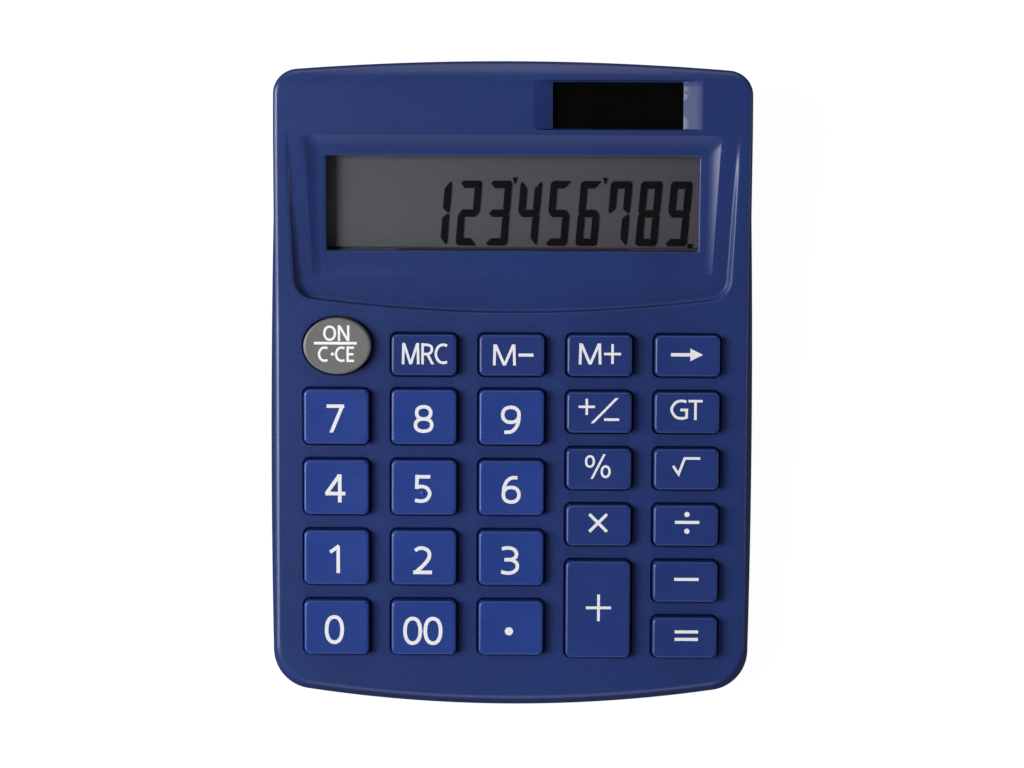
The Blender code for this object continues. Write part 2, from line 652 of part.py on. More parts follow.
def make_rubber_keypad(deck, material):
    """Rubber sheet with one hollow dome under each key."""
    places = [at for _, _, _, at, _ in KEYS]
    width = 2 * SHEET_HALF_WIDTH
    sheet = prism(rounded_rectangle(width, SHEET_REAR - SHEET_FRONT, 3 * MM,
                                    (0, (SHEET_REAR + SHEET_FRONT) / 2)), SHEET_BOTTOM, SHEET_TOP)
    keypad = object_from("rubber_keypad", sheet, material, deck)
    domes = rods(places, DOME_BASE_RADIUS, SHEET_TOP - SHEET_THICKNESS / 2, SHEET_TOP + DOME_HEIGHT, 8,
                 DOME_TOP_RADIUS)
    combine(keypad, cutter("domes", domes, deck), "UNION")
    hollows = rods(places, DOME_BASE_RADIUS - DOME_SKIN, SHEET_BOTTOM - 1 * MM,
                   SHEET_TOP + DOME_HEIGHT - DOME_SKIN, 8, DOME_TOP_RADIUS - DOME_SKIN)
    combine(keypad, cutter("dome_hollows", hollows, deck))
    return keypad


def make_circuit_board(deck, material):
    """Board with a front tongue and four screw holes."""
    right = [(BOARD_TONGUE_HALF, BOARD_TONGUE_FRONT), (BOARD_TONGUE_HALF, BOARD_FRONT),
             (BOARD_HALF_WIDTH, BOARD_FRONT), (BOARD_HALF_WIDTH, BOARD_REAR)]
    outline = right + [(-x, y) for x, y in reversed(right)]
    board = object_from("circuit_board", prism(outline, BOARD_BOTTOM, BOARD_TOP), material, deck)
    holes = rods(BOARD_SCREWS, SMALL_SCREW[2] + GAP, BOARD_BOTTOM - 1 * MM, BOARD_TOP + 1 * MM, 10)
    combine(board, cutter("board_holes", holes, deck))
    return board


def make_chip(deck, material):
    """Low block with bevelled edges under the board."""
    top = BOARD_BOTTOM - GAP
    shape = block(CHIP_SIZE, (0, 0, top - CHIP_SIZE[2] / 2))
    edges = [edge for edge in shape.edges if min(v.co.z for v in edge.verts) < top - CHIP_SIZE[2] / 2]
    bmesh.ops.bevel(shape, geom=edges, offset=0.5 * MM, segments=2, affect="EDGES")
    return object_from("controller_chip", shape, material, deck, (*CHIP_AT, 0))


def make_screw(name, screw, head_low, tip, at, parent, material):
    """Pan-headed screw, head down, with a cross recess in the head."""
    head_radius, head_height, shank_radius = screw
    head_top = head_low + head_height
    levels = ((head_radius * 0.75, head_low), (head_radius, head_low + head_height * 0.45),
              (head_radius, head_top), (shank_radius, head_top),
              (shank_radius, tip - shank_radius), (shank_radius * 0.4, tip))
    rings = [[(r * cos(2 * pi * i / 12), r * sin(2 * pi * i / 12), z) for i in range(12)] for r, z in levels]
    item = object_from(name, loft(rings), material, parent, (*at, 0))
    for turn in range(2):
        slot = block((head_radius * 1.1, head_radius * 0.28, head_height * 0.9))
        combine(item, cutter(f"{name}_slot_{turn}", slot, parent, (*at, head_low), (0, 0, turn * pi / 2)))
    return item


# ---------------------------------------------------------------- display and solar panel

HOLDER_OUTER = (LCD_SIZE[0] + 2 * (GAP + HOLDER_WALL), LCD_SIZE[1] + 2 * (GAP + HOLDER_WALL))
HOLDER_BOTTOM = LCD_TOP - LCD_SIZE[2] - GAP - HOLDER_FLOOR
HOLDER_TAB_X = HOLDER_OUTER[0] / 2 + HOLDER_TAB[0] / 2 - TAB_OVERLAP
HOLDER_SCREWS = ((-HOLDER_TAB_X, 0), (HOLDER_TAB_X, 0))
HOLDER_SCREW_TIP = -1.6 * MM


def make_display(glass, pane_material, lcd_material, holder_material):
    """Clear pane, liquid crystal panel and the tray that holds it."""
    pane_top = -WALL - GAP
    pane = block(PANE_SIZE, (0, 0, pane_top - PANE_SIZE[2] / 2))
    object_from("display_window", pane, pane_material, glass)

    # The panel is two sheets of glass: the lower one reaches further towards the user.
    ledge = 2.5 * MM
    profile = [(-LCD_SIZE[1] / 2, -LCD_SIZE[2]), (LCD_SIZE[1] / 2, -LCD_SIZE[2]), (LCD_SIZE[1] / 2, 0),
               (-LCD_SIZE[1] / 2 + ledge, 0), (-LCD_SIZE[1] / 2 + ledge, -LCD_SIZE[2] / 2),
               (-LCD_SIZE[1] / 2, -LCD_SIZE[2] / 2)]
    profile = [(y, z + LCD_TOP) for y, z in profile]
    object_from("lcd_panel", side_prism(profile, LCD_SIZE[0] / 2), lcd_material, glass)

    rim = LCD_TOP + 0.1 * MM
    tray = block((*HOLDER_OUTER, rim - HOLDER_BOTTOM), (0, 0, (rim + HOLDER_BOTTOM) / 2))
    holder = object_from("lcd_holder", tray, holder_material, glass)
    tabs = bmesh.new()
    for x, y in HOLDER_SCREWS:
        made = bmesh.ops.create_cube(tabs, size=1.0)["verts"]
        bmesh.ops.scale(tabs, vec=HOLDER_TAB, verts=made)
        bmesh.ops.translate(tabs, vec=(x, y, LCD_TOP - HOLDER_TAB[2] / 2), verts=made)
    combine(holder, cutter("holder_tabs", tabs, glass), "UNION")
    pocket_low = LCD_TOP - LCD_SIZE[2] - GAP
    pocket = block((LCD_SIZE[0] + 2 * GAP, LCD_SIZE[1] + 2 * GAP, 6 * MM), (0, 0, pocket_low + 3 * MM))
    combine(holder, cutter("holder_pocket", pocket, glass))
    slot = block((RIBBON_WIDTH + 2 * MM, 8 * MM, 6 * MM), (0, -HOLDER_OUTER[1] / 2, pocket_low + 3 * MM))
    combine(holder, cutter("holder_slot", slot, glass))
    holes = rods(HOLDER_SCREWS, SMALL_SCREW[2] + GAP, LCD_TOP - 4 * MM, LCD_TOP + 2 * MM, 8)
    combine(holder, cutter("holder_holes", holes, glass))


def make_ribbon(glass_matrix, deck_matrix, material):
    """Thin flexible strip that drops from the panel's ledge and turns onto the board."""
    start = glass_matrix @ Vector((0, -LCD_SIZE[1] / 2 + 2.0 * MM, LCD_TOP - LCD_SIZE[2] / 2 + GAP))
    start_way = (glass_matrix.to_3x3() @ Vector((0, -1, 0))).normalized()
    end = deck_matrix @ Vector((0, BOARD_REAR - 3.0 * MM, BOARD_TOP + GAP))
    end_way = (deck_matrix.to_3x3() @ Vector((0, -1, 0))).normalized()
    reach = (start - end).length
    controls = (start, start + start_way * reach * 0.45, end - end_way * reach * 0.45, end)
    steps = 8
    line = []
    for i in range(steps + 1):
        t = i / steps
        weights = ((1 - t) ** 3, 3 * t * (1 - t) ** 2, 3 * t * t * (1 - t), t ** 3)
        line.append(sum((c * w for c, w in zip(controls, weights)), Vector()))
    upper = []
    for i, point in enumerate(line):
        along = (line[min(i + 1, steps)] - line[max(i - 1, 0)]).normalized()
        away = Vector((0, -along.z, along.y))
        if away.z < 0:
            away = -away
        upper.append(point + away * RIBBON_THICKNESS)
    profile = [(p.y, p.z) for p in line] + [(p.y, p.z) for p in reversed(upper)]
    return object_from("display_ribbon", side_prism(profile, RIBBON_WIDTH / 2), material)


# ---------------------------------------------------------------- battery and leads

POSITIVE_Y = CELL_AT[1] - WELL_INNER[1] / 2 + GAP + CONTACT_THICKNESS / 2
NEGATIVE_Y = CELL_AT[1] + WELL_INNER[1] / 2 - GAP - CONTACT_THICKNESS / 2
CELL_LOW = FOOT_PROUD + COVER_OUTER + COVER_INNER + 2 * GAP + 0.1 * MM
CONTACT_TOP = WELL_CEILING + WELL_WALL + 2.0 * MM


def make_button_cell(material):
    """Button cell: a can with a rounded edge and a narrower cap on top."""
    cap_radius = CELL_RADIUS - 1.0 * MM
    levels = ((CELL_RADIUS - 0.4 * MM, 0.0), (CELL_RADIUS, 0.4 * MM), (CELL_RADIUS, CELL_HEIGHT - 0.9 * MM),
              (CELL_RADIUS - 0.5 * MM, CELL_HEIGHT - 0.5 * MM), (cap_radius, CELL_HEIGHT - 0.5 * MM),
              (cap_radius - 0.3 * MM, CELL_HEIGHT))
    steps = 24
    rings = [[(r * cos(2 * pi * i / steps), r * sin(2 * pi * i / steps), z) for i in range(steps)]
             for r, z in levels]
    return object_from("button_cell", loft(rings), material, None, (*CELL_AT, CELL_LOW))


def make_contacts(material):
    """Two bent leaves: one beside the cell, one over its cap."""
    thin = CONTACT_THICKNESS
    low = CELL_LOW + 1.0 * MM
    upright = block((CONTACT_WIDTH, thin, CONTACT_TOP - low), (0, 0, (CONTACT_TOP + low) / 2))
    object_from("contact_positive", upright, material, None, (CELL_AT[0], POSITIVE_Y, 0))
    leaf_top = WELL_CEILING - GAP
    inner = -thin / 2
    outer = thin / 2
    reach = NEGATIVE_Y - CELL_AT[1]
    profile = [(-reach, leaf_top - thin - 0.15 * MM), (inner, leaf_top - thin), (outer, leaf_top - thin),
               (outer, CONTACT_TOP), (inner, CONTACT_TOP), (inner, leaf_top), (-reach, leaf_top - 0.15 * MM)]
    leaf = side_prism(profile, CONTACT_WIDTH / 2)
    object_from("contact_negative", leaf, material, None, (CELL_AT[0], NEGATIVE_Y, 0))


def make_lead(name, route, material):
    """Insulated wire: a round tube along a smooth curve through the route's points."""
    points = [Vector(p) for p in route]
    points = [points[0] * 2 - points[1]] + points + [points[-1] * 2 - points[-2]]
    line = []
    steps = 3
    for a, b, c, d in zip(points, points[1:], points[2:], points[3:]):
        for i in range(steps):
            t = i / steps
            line.append(0.5 * (2 * b + (c - a) * t + (2 * a - 5 * b + 4 * c - d) * t ** 2
                               + (3 * b - a - 3 * c + d) * t ** 3))
    line.append(points[-2])
    curve = bpy.data.curves.new(name, "CURVE")
    curve.dimensions = "3D"
    curve.bevel_depth = LEAD_RADIUS
    curve.bevel_resolution = 2
    curve.use_fill_caps = True
    spline = curve.splines.new("POLY")
    spline.points.add(len(line) - 1)
    for knot, place in zip(spline.points, line):
        knot.co = (*place, 1.0)
    curve.materials.append(material)
    item = bpy.data.objects.new(name, curve)
    bpy.context.collection.objects.link(item)
    return item


def make_leads(deck_matrix, solar_matrix, positive, negative):
    """Two leads from the solar panel and two from the contacts, all to the board's underside."""
    board = lambda x, y: deck_matrix @ Vector((x, y, BOARD_BOTTOM - GAP - 0.6 * MM))
    plate_low = -SOLAR_RECESS - SOLAR_LEDGE - GAP - SOLAR_PLATE[2]
    for i, (material, x, side) in enumerate(((positive, 24.0, 0), (negative, 28.0, 1))):
        start = solar_matrix @ Vector((x * MM - SOLAR_AT[0], 0, plate_low - GAP))
        end = board((6.0 + 5 * side) * MM, 10.0 * MM)
        route = (start, start + Vector((0, -0.5 * MM, -5 * MM)), (x * MM, 52 * MM, 10.5 * MM),
                 (x * MM, 38 * MM, 8.0 * MM), ((x - 6) * MM, 26 * MM, 7.5 * MM),
                 (end.x + 1 * MM, end.y + 6 * MM, end.z - 1.6 * MM), end)
        make_lead(f"solar_lead_{i + 1}", route, material)
    ends = ((positive, POSITIVE_Y - 1.2 * MM, -11.0, 36.0), (negative, NEGATIVE_Y - 1.2 * MM, -6.0, 40.0))
    for i, (material, y, x, turn_y) in enumerate(ends):
        top = CONTACT_TOP - 0.8 * MM
        start = Vector((CELL_AT[0] + 0.8 * MM, y, top))
        end = board(x * MM, 10.0 * MM)
        clear = CELL_AT[0] + WELL_INNER[0] / 2 + WELL_WALL + (2.6 + 2.4 * i) * MM
        route = (start, start + Vector((4 * MM, -0.8 * MM, 0.6 * MM)), (clear, y - 3.4 * MM, 10.5 * MM),
                 (clear, turn_y * MM, 7.0 * MM), (end.x, 24 * MM, 7.5 * MM),
                 (end.x, end.y + 6 * MM, end.z - 1.6 * MM), end)
        make_lead(f"battery_lead_{i + 1}", route, material)


def plane_matrix(location, tilt):
    """World matrix of a tilted working plane."""
    return Matrix.Translation(location) @ Matrix.Rotation(tilt, 4, "X")


KEYS = key_plan()
CASE_HEAD_LOW = FOOT_PROUD + COUNTERBORE_DEPTH - GAP - CASE_SCREW[1]
CASE_SCREW_TIPS = (9.0 * MM, 9.0 * MM, 14.0 * MM, 14.0 * MM)
DECK_PLACE = (0, 0, deck_height(0))
GLASS_TILT = atan(FRAME_RISE)
GLASS_PLACE = (0, WINDOW_Y, frame_height(WINDOW_Y))
SOLAR_TILT = atan((REAR_BAND_Z - SHOULDER_END_Z) / (REAR_BAND_Y - SHOULDER_END_Y))
SOLAR_PLACE = (SOLAR_AT[0], SOLAR_AT[1], crown_height(SOLAR_AT[1]))


def main():
    clear_scene()
    navy = make_material("navy_plastic", (0.026, 0.048, 0.180), 0.42)
    navy_base = make_material("navy_base_plastic", (0.024, 0.044, 0.165), 0.45)
    royal = make_material("digit_key_plastic", (0.030, 0.062, 0.250), 0.40)
    navy_key = make_material("function_key_plastic", (0.026, 0.050, 0.190), 0.40)
    grey_key = make_material("clear_key_plastic", (0.19, 0.19, 0.19), 0.45)
    acrylic = make_material("clear_acrylic", (0.9, 0.92, 0.92), 0.05, alpha=0.25)
    lcd = make_material("lcd_glass", (0.10, 0.11, 0.12), 0.25)
    solar_glass = make_material("solar_glass", (0.006, 0.006, 0.008), 0.10)
    inner = make_material("holder_plastic", (0.04, 0.04, 0.045), 0.5)
    rubber = make_material("keypad_rubber", (0.45, 0.46, 0.46), 0.7)
    foot_rubber = make_material("foot_rubber", (0.02, 0.02, 0.02), 0.8)
    board = make_material("board_laminate", (0.03, 0.16, 0.06), 0.5)
    resin = make_material("chip_resin", (0.01, 0.01, 0.01), 0.4)
    film = make_material("ribbon_film", (0.55, 0.36, 0.14), 0.4)
    steel = make_material("screw_steel", (0.5, 0.5, 0.52), 0.35, 1.0)
    nickel = make_material("cell_nickel", (0.6, 0.6, 0.6), 0.25, 1.0)
    brass = make_material("contact_brass", (0.7, 0.52, 0.25), 0.3, 1.0)
    red = make_material("red_insulation", (0.5, 0.02, 0.02), 0.5)
    black = make_material("black_insulation", (0.015, 0.015, 0.015), 0.5)
    key_materials = {"digit_key": royal, "function_key": navy_key, "clear_key": grey_key}

    deck = empty("deck_plane", DECK_PLACE, DECK_SLOPE)
    glass = empty("glass_plane", GLASS_PLACE, GLASS_TILT)
    solar = empty("solar_plane", SOLAR_PLACE, SOLAR_TILT)

    make_upper_case(deck, glass, solar, navy)
    make_lower_case(navy_base)
    make_battery_cover(navy_base)
    for name, outline_of, size, at, kind in KEYS:
        make_key(name, outline_of, size, at, deck, key_materials[kind])
    make_rubber_keypad(deck, rubber)
    make_circuit_board(deck, board)
    make_chip(deck, resin)
    make_display(glass, acrylic, lcd, inner)
    deck_matrix = plane_matrix(DECK_PLACE, DECK_SLOPE)
    make_ribbon(plane_matrix(GLASS_PLACE, GLASS_TILT), deck_matrix, film)

    plate_top = -SOLAR_RECESS - SOLAR_LEDGE - GAP
    plate = block(SOLAR_PLATE, (0, 0, plate_top - SOLAR_PLATE[2] / 2))
    object_from("solar_cell", plate, solar_glass, solar)

    for i, at in enumerate(BOARD_SCREWS):
        head_low = BOARD_BOTTOM - GAP - SMALL_SCREW[1]
        make_screw(f"board_screw_{i + 1}", SMALL_SCREW, head_low, -1.5 * MM, at, deck, steel)
    for i, at in enumerate(CASE_SCREWS):
        make_screw(f"case_screw_{i + 1}", CASE_SCREW, CASE_HEAD_LOW, CASE_SCREW_TIPS[i], at, None, steel)
    for side, at in zip(("left", "right"), HOLDER_SCREWS):
        head_low = LCD_TOP - HOLDER_TAB[2] - GAP - SMALL_SCREW[1]
        make_screw(f"holder_screw_{side}", SMALL_SCREW, head_low, HOLDER_SCREW_TIP, at, glass, steel)
    for i, (x, y) in enumerate(FEET):
        foot = bmesh.new()
        add_rod(foot, FOOT_RADIUS, 0.0, FOOT_PROUD + FOOT_SUNK, (0, 0), 24)
        object_from(f"foot_{i + 1}", foot, foot_rubber, None, (x, y, 0))

    make_button_cell(nickel)
    make_contacts(brass)
    make_leads(deck_matrix, plane_matrix(SOLAR_PLACE, SOLAR_TILT), red, black)


main()
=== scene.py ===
"""Desk calculator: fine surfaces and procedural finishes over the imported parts.

Lengths are in millimetres until a mesh is written, and every piece is placed in
its vertices: +Z up, +Y towards the display end, origin on the table under the middle.
"""

import json
import logging
import math
from collections.abc import Callable, Sequence
from dataclasses import dataclass, field
from enum import Enum

import bmesh
import bpy
import numpy as np
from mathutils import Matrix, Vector
from mathutils.geometry import delaunay_2d_cdt

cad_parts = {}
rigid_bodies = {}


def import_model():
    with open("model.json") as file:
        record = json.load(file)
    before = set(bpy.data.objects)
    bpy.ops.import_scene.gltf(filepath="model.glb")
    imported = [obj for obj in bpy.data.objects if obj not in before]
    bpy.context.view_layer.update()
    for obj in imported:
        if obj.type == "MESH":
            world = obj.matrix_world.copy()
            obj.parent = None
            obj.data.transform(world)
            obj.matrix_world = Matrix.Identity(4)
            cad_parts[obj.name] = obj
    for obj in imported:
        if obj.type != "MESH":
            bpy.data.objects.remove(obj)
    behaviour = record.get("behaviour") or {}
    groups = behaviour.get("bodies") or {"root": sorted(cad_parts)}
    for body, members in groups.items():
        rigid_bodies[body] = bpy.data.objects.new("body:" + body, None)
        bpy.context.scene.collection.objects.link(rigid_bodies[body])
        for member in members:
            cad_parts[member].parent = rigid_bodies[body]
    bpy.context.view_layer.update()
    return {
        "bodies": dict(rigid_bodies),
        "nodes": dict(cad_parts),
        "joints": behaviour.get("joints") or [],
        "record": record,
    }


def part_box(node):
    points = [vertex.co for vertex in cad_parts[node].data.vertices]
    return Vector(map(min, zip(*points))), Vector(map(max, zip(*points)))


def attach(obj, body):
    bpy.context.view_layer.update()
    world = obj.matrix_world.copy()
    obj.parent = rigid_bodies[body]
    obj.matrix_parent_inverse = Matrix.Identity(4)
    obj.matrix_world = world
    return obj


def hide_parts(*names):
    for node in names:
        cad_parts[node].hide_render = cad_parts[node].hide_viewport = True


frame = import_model()

MM = 0.001
HOUSING = "housing"
Array = np.ndarray
Color = tuple[float, float, float]

logging.basicConfig(level=logging.INFO, format="%(name)s: %(message)s")
log = logging.getLogger("calculator")


# ---------------------------------------------------------------- plan geometry


def rounded_polygon(corners: Sequence, radii: float | Sequence, arc_steps: int, edge_steps: int) -> Array:
    """Closed outline of a convex polygon whose corners are arcs tangent to both sides.

    Args:
        corners: Corner points, counter-clockwise.
        radii: One radius, or one for each corner.
        arc_steps: Chords in each corner arc.
        edge_steps: Spans in each straight side.

    Returns:
        Points of shape (n, 2), with the same count for any polygon of as many corners.
    """
    tips = np.asarray(corners, float)
    radius = np.broadcast_to(np.asarray(radii, float), len(tips))[:, None]
    back = np.roll(tips, 1, axis=0) - tips
    back /= np.linalg.norm(back, axis=1, keepdims=True)
    ahead = np.roll(tips, -1, axis=0) - tips
    ahead /= np.linalg.norm(ahead, axis=1, keepdims=True)
    half_angle = 0.5 * np.arccos((back * ahead).sum(axis=1, keepdims=True))
    middle = back + ahead
    middle /= np.linalg.norm(middle, axis=1, keepdims=True)
    centre = tips + middle * radius / np.sin(half_angle)
    start = tips + back * radius / np.tan(half_angle) - centre
    first = np.arctan2(start[:, 1], start[:, 0])[:, None]
    turn = math.pi - 2 * half_angle
    angle = first + turn * np.linspace(0, 1, arc_steps + 1)
    arcs = centre[:, None] + radius[:, None] * np.stack([np.cos(angle), np.sin(angle)], axis=-1)
    share = np.linspace(0, 1, edge_steps + 1)[1:-1, None]
    ends = arcs[:, -1:]
    sides = ends + (np.roll(arcs[:, :1], -1, axis=0) - ends) * share
    return np.concatenate([arcs, sides], axis=1).reshape(-1, 2)


def rectangle(width: float, depth: float, radius: float, at: Sequence = (0.0, 0.0),
              arc_steps: int = 8, edge_steps: int = 6) -> Array:
    """Outline of a rectangle with round corners about a centre."""
    x, y = width / 2, depth / 2
    outline = rounded_polygon([(-x, -y), (x, -y), (x, y), (-x, y)], radius, arc_steps, edge_steps)
    return outline + np.asarray(at, float)


def ellipse(width: float, depth: float, at: Sequence = (0.0, 0.0), steps: int = 72,
            fullness: float = 1.0) -> Array:
    """Outline of an ellipse; a fullness below 1 swells its four diagonals."""
    turn = 2 * math.pi * np.arange(steps) / steps
    cosine, sine = np.cos(turn), np.sin(turn)
    x = np.sign(cosine) * np.abs(cosine) ** fullness * width / 2
    y = np.sign(sine) * np.abs(sine) ** fullness * depth / 2
    return np.stack([x, y], axis=1) + np.asarray(at, float)


def grown(outline: Array, distance: float) -> Array:
    """Outline moved outwards by a distance, each point along the mitre of its two sides."""
    ahead = np.roll(outline, -1, axis=0) - outline
    ahead /= np.linalg.norm(ahead, axis=1, keepdims=True)
    both = (ahead + np.roll(ahead, 1, axis=0)) / 2
    normal = np.stack([both[:, 1], -both[:, 0]], axis=1)
    return outline + distance * normal / (normal**2).sum(axis=1, keepdims=True)


def arc(centre: Sequence, radius: float, start: float, end: float, steps: int) -> Array:
    """Points along an arc, its last point left out."""
    angle = np.linspace(start, end, steps, endpoint=False)
    return np.asarray(centre, float) + radius * np.stack([np.cos(angle), np.sin(angle)], axis=1)


def levelled(outline: Array, height: float) -> Array:
    """Points of a plan outline at one height."""
    return np.column_stack([outline, np.full(len(outline), height)])


def grid(across: Array, along: Array) -> Array:
    """Every point of a rectangular grid, row by row."""
    return np.stack(np.meshgrid(across, along), axis=-1).reshape(-1, 2)


def bearing(centre: Array, point: Array) -> float:
    """Direction from a centre to a point, as an angle from +X."""
    return math.atan2(*(point - centre)[::-1])


def clear_of(points: Array, others: Array, distance: float) -> Array:
    """Whether each point keeps more than a distance from all of the others.

    Args:
        points: Points of shape (n, 2), taken block by block to spare memory.
        others: Points of shape (m, 2).
        distance: The distance to keep.

    Returns:
        One truth value for each point.
    """
    nearest = [((block[:, None] - others) ** 2).sum(axis=-1).min(axis=1) for block in np.array_split(points,
                                                                                                     16)]
    return np.concatenate(nearest) > distance**2


def contains(outline: Array, points: Array) -> Array:
    """Whether each point lies inside an outline, by counting the sides to its right.

    Args:
        outline: Closed outline.
        points: Points, of which the first two columns count.

    Returns:
        One truth value for each point.
    """
    x, y = points[:, :1], points[:, 1:2]
    ax, ay = outline.T
    bx, by = np.roll(outline, -1, axis=0).T
    spans = (ay > y) != (by > y)
    rise = np.where(by == ay, 1.0, by - ay)
    return ((spans & (x < ax + (y - ay) * (bx - ax) / rise)).sum(axis=1) % 2).astype(bool)


def triangulated(loops: Sequence[Array], loose: Array | None = None) -> tuple[Array, Array]:
    """Triangles over a plan that keep every loop's sides as edges.

    Args:
        loops: Closed outlines.
        loose: Further points to use as corners.

    Returns:
        The points, loops first in their order, and the triangles as index rows.
    """
    blocks = list(loops) + ([] if loose is None else [loose])
    starts = np.cumsum([0] + [len(loop) for loop in loops])
    sides = [np.stack([np.arange(len(loop)), np.roll(np.arange(len(loop)), -1)], axis=1) + start
             for loop, start in zip(loops, starts)]
    flat = np.concatenate(blocks)
    made = delaunay_2d_cdt([Vector(p) for p in flat.tolist()], np.concatenate(sides).tolist(), [], 0, 1e-7,
                           False)
    return np.array([tuple(p) for p in made[0]]), np.array(made[2])


def soft_ramp(distance: Array, half_width: float) -> Array:
    """Zero below 0 and the distance itself above 0, joined by a parabola."""
    blend = (distance + half_width) ** 2 / (4 * half_width)
    return np.where(distance < -half_width, 0.0, np.where(distance > half_width, distance, blend))


# ---------------------------------------------------------------- planes and meshes


@dataclass(frozen=True)
class Plane:
    """A working plane that is level across the width and climbs towards the rear."""

    x: float
    y: float
    z: float
    tilt: float

    def world(self, local: Array) -> Array:
        """Row-frame points of points given on the plane, turned about X by the tilt."""
        cosine, sine = math.cos(self.tilt), math.sin(self.tilt)
        across, along, above = local[..., 0], local[..., 1], local[..., 2]
        return np.stack([self.x + across,
                         self.y + cosine * along - sine * above,
                         self.z + sine * along + cosine * above], axis=-1)

    def raised(self, outline: Array, height: float | Array) -> Array:
        """Row-frame points of an outline at a height above the plane."""
        above = np.broadcast_to(height, outline.shape[:-1])
        return self.world(np.concatenate([outline, above[..., None]], axis=-1))


class Surface:
    """Vertex arrays and faces, gathered block by block and written as one mesh."""

    def __init__(self) -> None:
        """Start with no points and no faces."""
        self._blocks: list[Array] = []
        self._faces: list[list[int]] = []
        self._count = 0

    def add(self, points: Array) -> Array:
        """Take in points and give their indices in the same arrangement."""
        flat = points.reshape(-1, 3)
        self._blocks.append(flat)
        index = np.arange(self._count, self._count + len(flat))
        self._count += len(flat)
        return index.reshape(points.shape[:-1])

    def bands(self, rows: Array) -> None:
        """Quads between each closed index row and the next."""
        low, high = rows[:-1], rows[1:]
        quads = np.stack([low, np.roll(low, -1, axis=1), np.roll(high, -1, axis=1), high], axis=-1)
        self._faces += quads.reshape(-1, 4).tolist()

    def cap(self, row: Array) -> None:
        """One flat face across a closed index row."""
        self._faces.append(row.tolist())

    def triangles(self, corners: Array) -> None:
        """Triangles given by their corner indices."""
        self._faces += corners.tolist()

    def mesh(self, name: str) -> bpy.types.Mesh:
        """Write the mesh in metres, with its faces turned outwards.

        Args:
            name: Name of the mesh.

        Returns:
            The mesh.
        """
        made = bpy.data.meshes.new(name)
        made.from_pydata((np.concatenate(self._blocks) * MM).tolist(), [], self._faces)
        shape = bmesh.new()
        shape.from_mesh(made)
        bmesh.ops.recalc_face_normals(shape, faces=shape.faces)
        shape.to_mesh(made)
        shape.free()
        return made


def lofted(name: str, rows: Array) -> bpy.types.Mesh:
    """Closed mesh through rows of points, with a flat face over each end row.

    Args:
        name: Name of the mesh.
        rows: Points of shape (rows, points in a row, 3).

    Returns:
        The mesh.
    """
    surface = Surface()
    index = surface.add(np.asarray(rows, float))
    surface.bands(index)
    surface.cap(index[0])
    surface.cap(index[-1])
    return surface.mesh(name)


def lathe(profile: Sequence, at: Sequence = (0.0, 0.0), steps: int = 64) -> Array:
    """Rows of a turned solid: a (radius, z) profile carried round an upright axis."""
    pairs = np.asarray(profile, float)
    turn = 2 * math.pi * np.arange(steps) / steps
    x = at[0] + pairs[:, :1] * np.cos(turn)
    y = at[1] + pairs[:, :1] * np.sin(turn)
    return np.stack([x, y, np.broadcast_to(pairs[:, 1:], x.shape)], axis=-1)


def slab(name: str, shapes: Sequence[Sequence[Array]], low: Callable, high: Callable) -> bpy.types.Mesh:
    """Thin closed plate over the union of flat shapes.

    Args:
        name: Name of the mesh.
        shapes: Each shape is its outlines; a point belongs to it when inside an odd number of them.
        low: Gives the underside's points in the row frame for plan points.
        high: Gives the upper side's points.

    Returns:
        The mesh.
    """
    points, corners = triangulated([loop for shape in shapes for loop in shape])
    middle = points[corners].mean(axis=1)
    held = np.zeros(len(corners), bool)
    for shape in shapes:
        held |= np.sum([contains(loop, middle) for loop in shape], axis=0) % 2 == 1
    corners = corners[held]
    sides = np.concatenate([corners[:, [0, 1]], corners[:, [1, 2]], corners[:, [2, 0]]])
    _, where, seen = np.unique(np.sort(sides, axis=1), axis=0, return_index=True, return_counts=True)
    rim = sides[where[seen == 1]]
    used, packed = np.unique(corners, return_inverse=True)
    renumber = np.zeros(len(points), int)
    renumber[used] = np.arange(len(used))
    surface = Surface()
    under = surface.add(low(points[used]))
    over = surface.add(high(points[used]))
    corners = packed.reshape(-1, 3)
    surface.triangles(over[corners])
    surface.triangles(under[corners[:, ::-1]])
    rim = renumber[rim]
    surface.triangles(np.stack([under[rim[:, 0]], under[rim[:, 1]], over[rim[:, 1]], over[rim[:, 0]]],
                               axis=1))
    return surface.mesh(name)


def solid_object(mesh: bpy.types.Mesh) -> bpy.types.Object:
    """Put a mesh into the scene under its own name."""
    piece = bpy.data.objects.new(mesh.name, mesh)
    bpy.context.scene.collection.objects.link(piece)
    return piece


def carved(base: bpy.types.Mesh, steps: Sequence[tuple[str, bpy.types.Mesh]]) -> bpy.types.Mesh:
    """Add to and cut from a solid, one tool after another.

    Args:
        base: Closed mesh to start from.
        steps: Each tool's operation, UNION, DIFFERENCE or INTERSECT, and its closed mesh.

    Returns:
        The resulting mesh, under the name of the base.
    """
    name = base.name
    target = solid_object(base)
    tools = []
    for operation, mesh in steps:
        tool = solid_object(mesh)
        tools.append(tool)
        cut = target.modifiers.new(mesh.name, "BOOLEAN")
        cut.operation = operation
        cut.solver = "EXACT"
        cut.object = tool
    graph = bpy.context.evaluated_depsgraph_get()
    made = bpy.data.meshes.new_from_object(target.evaluated_get(graph))
    for item in [target, *tools]:
        spare = item.data
        bpy.data.objects.remove(item)
        bpy.data.meshes.remove(spare)
    made.name = name
    return made


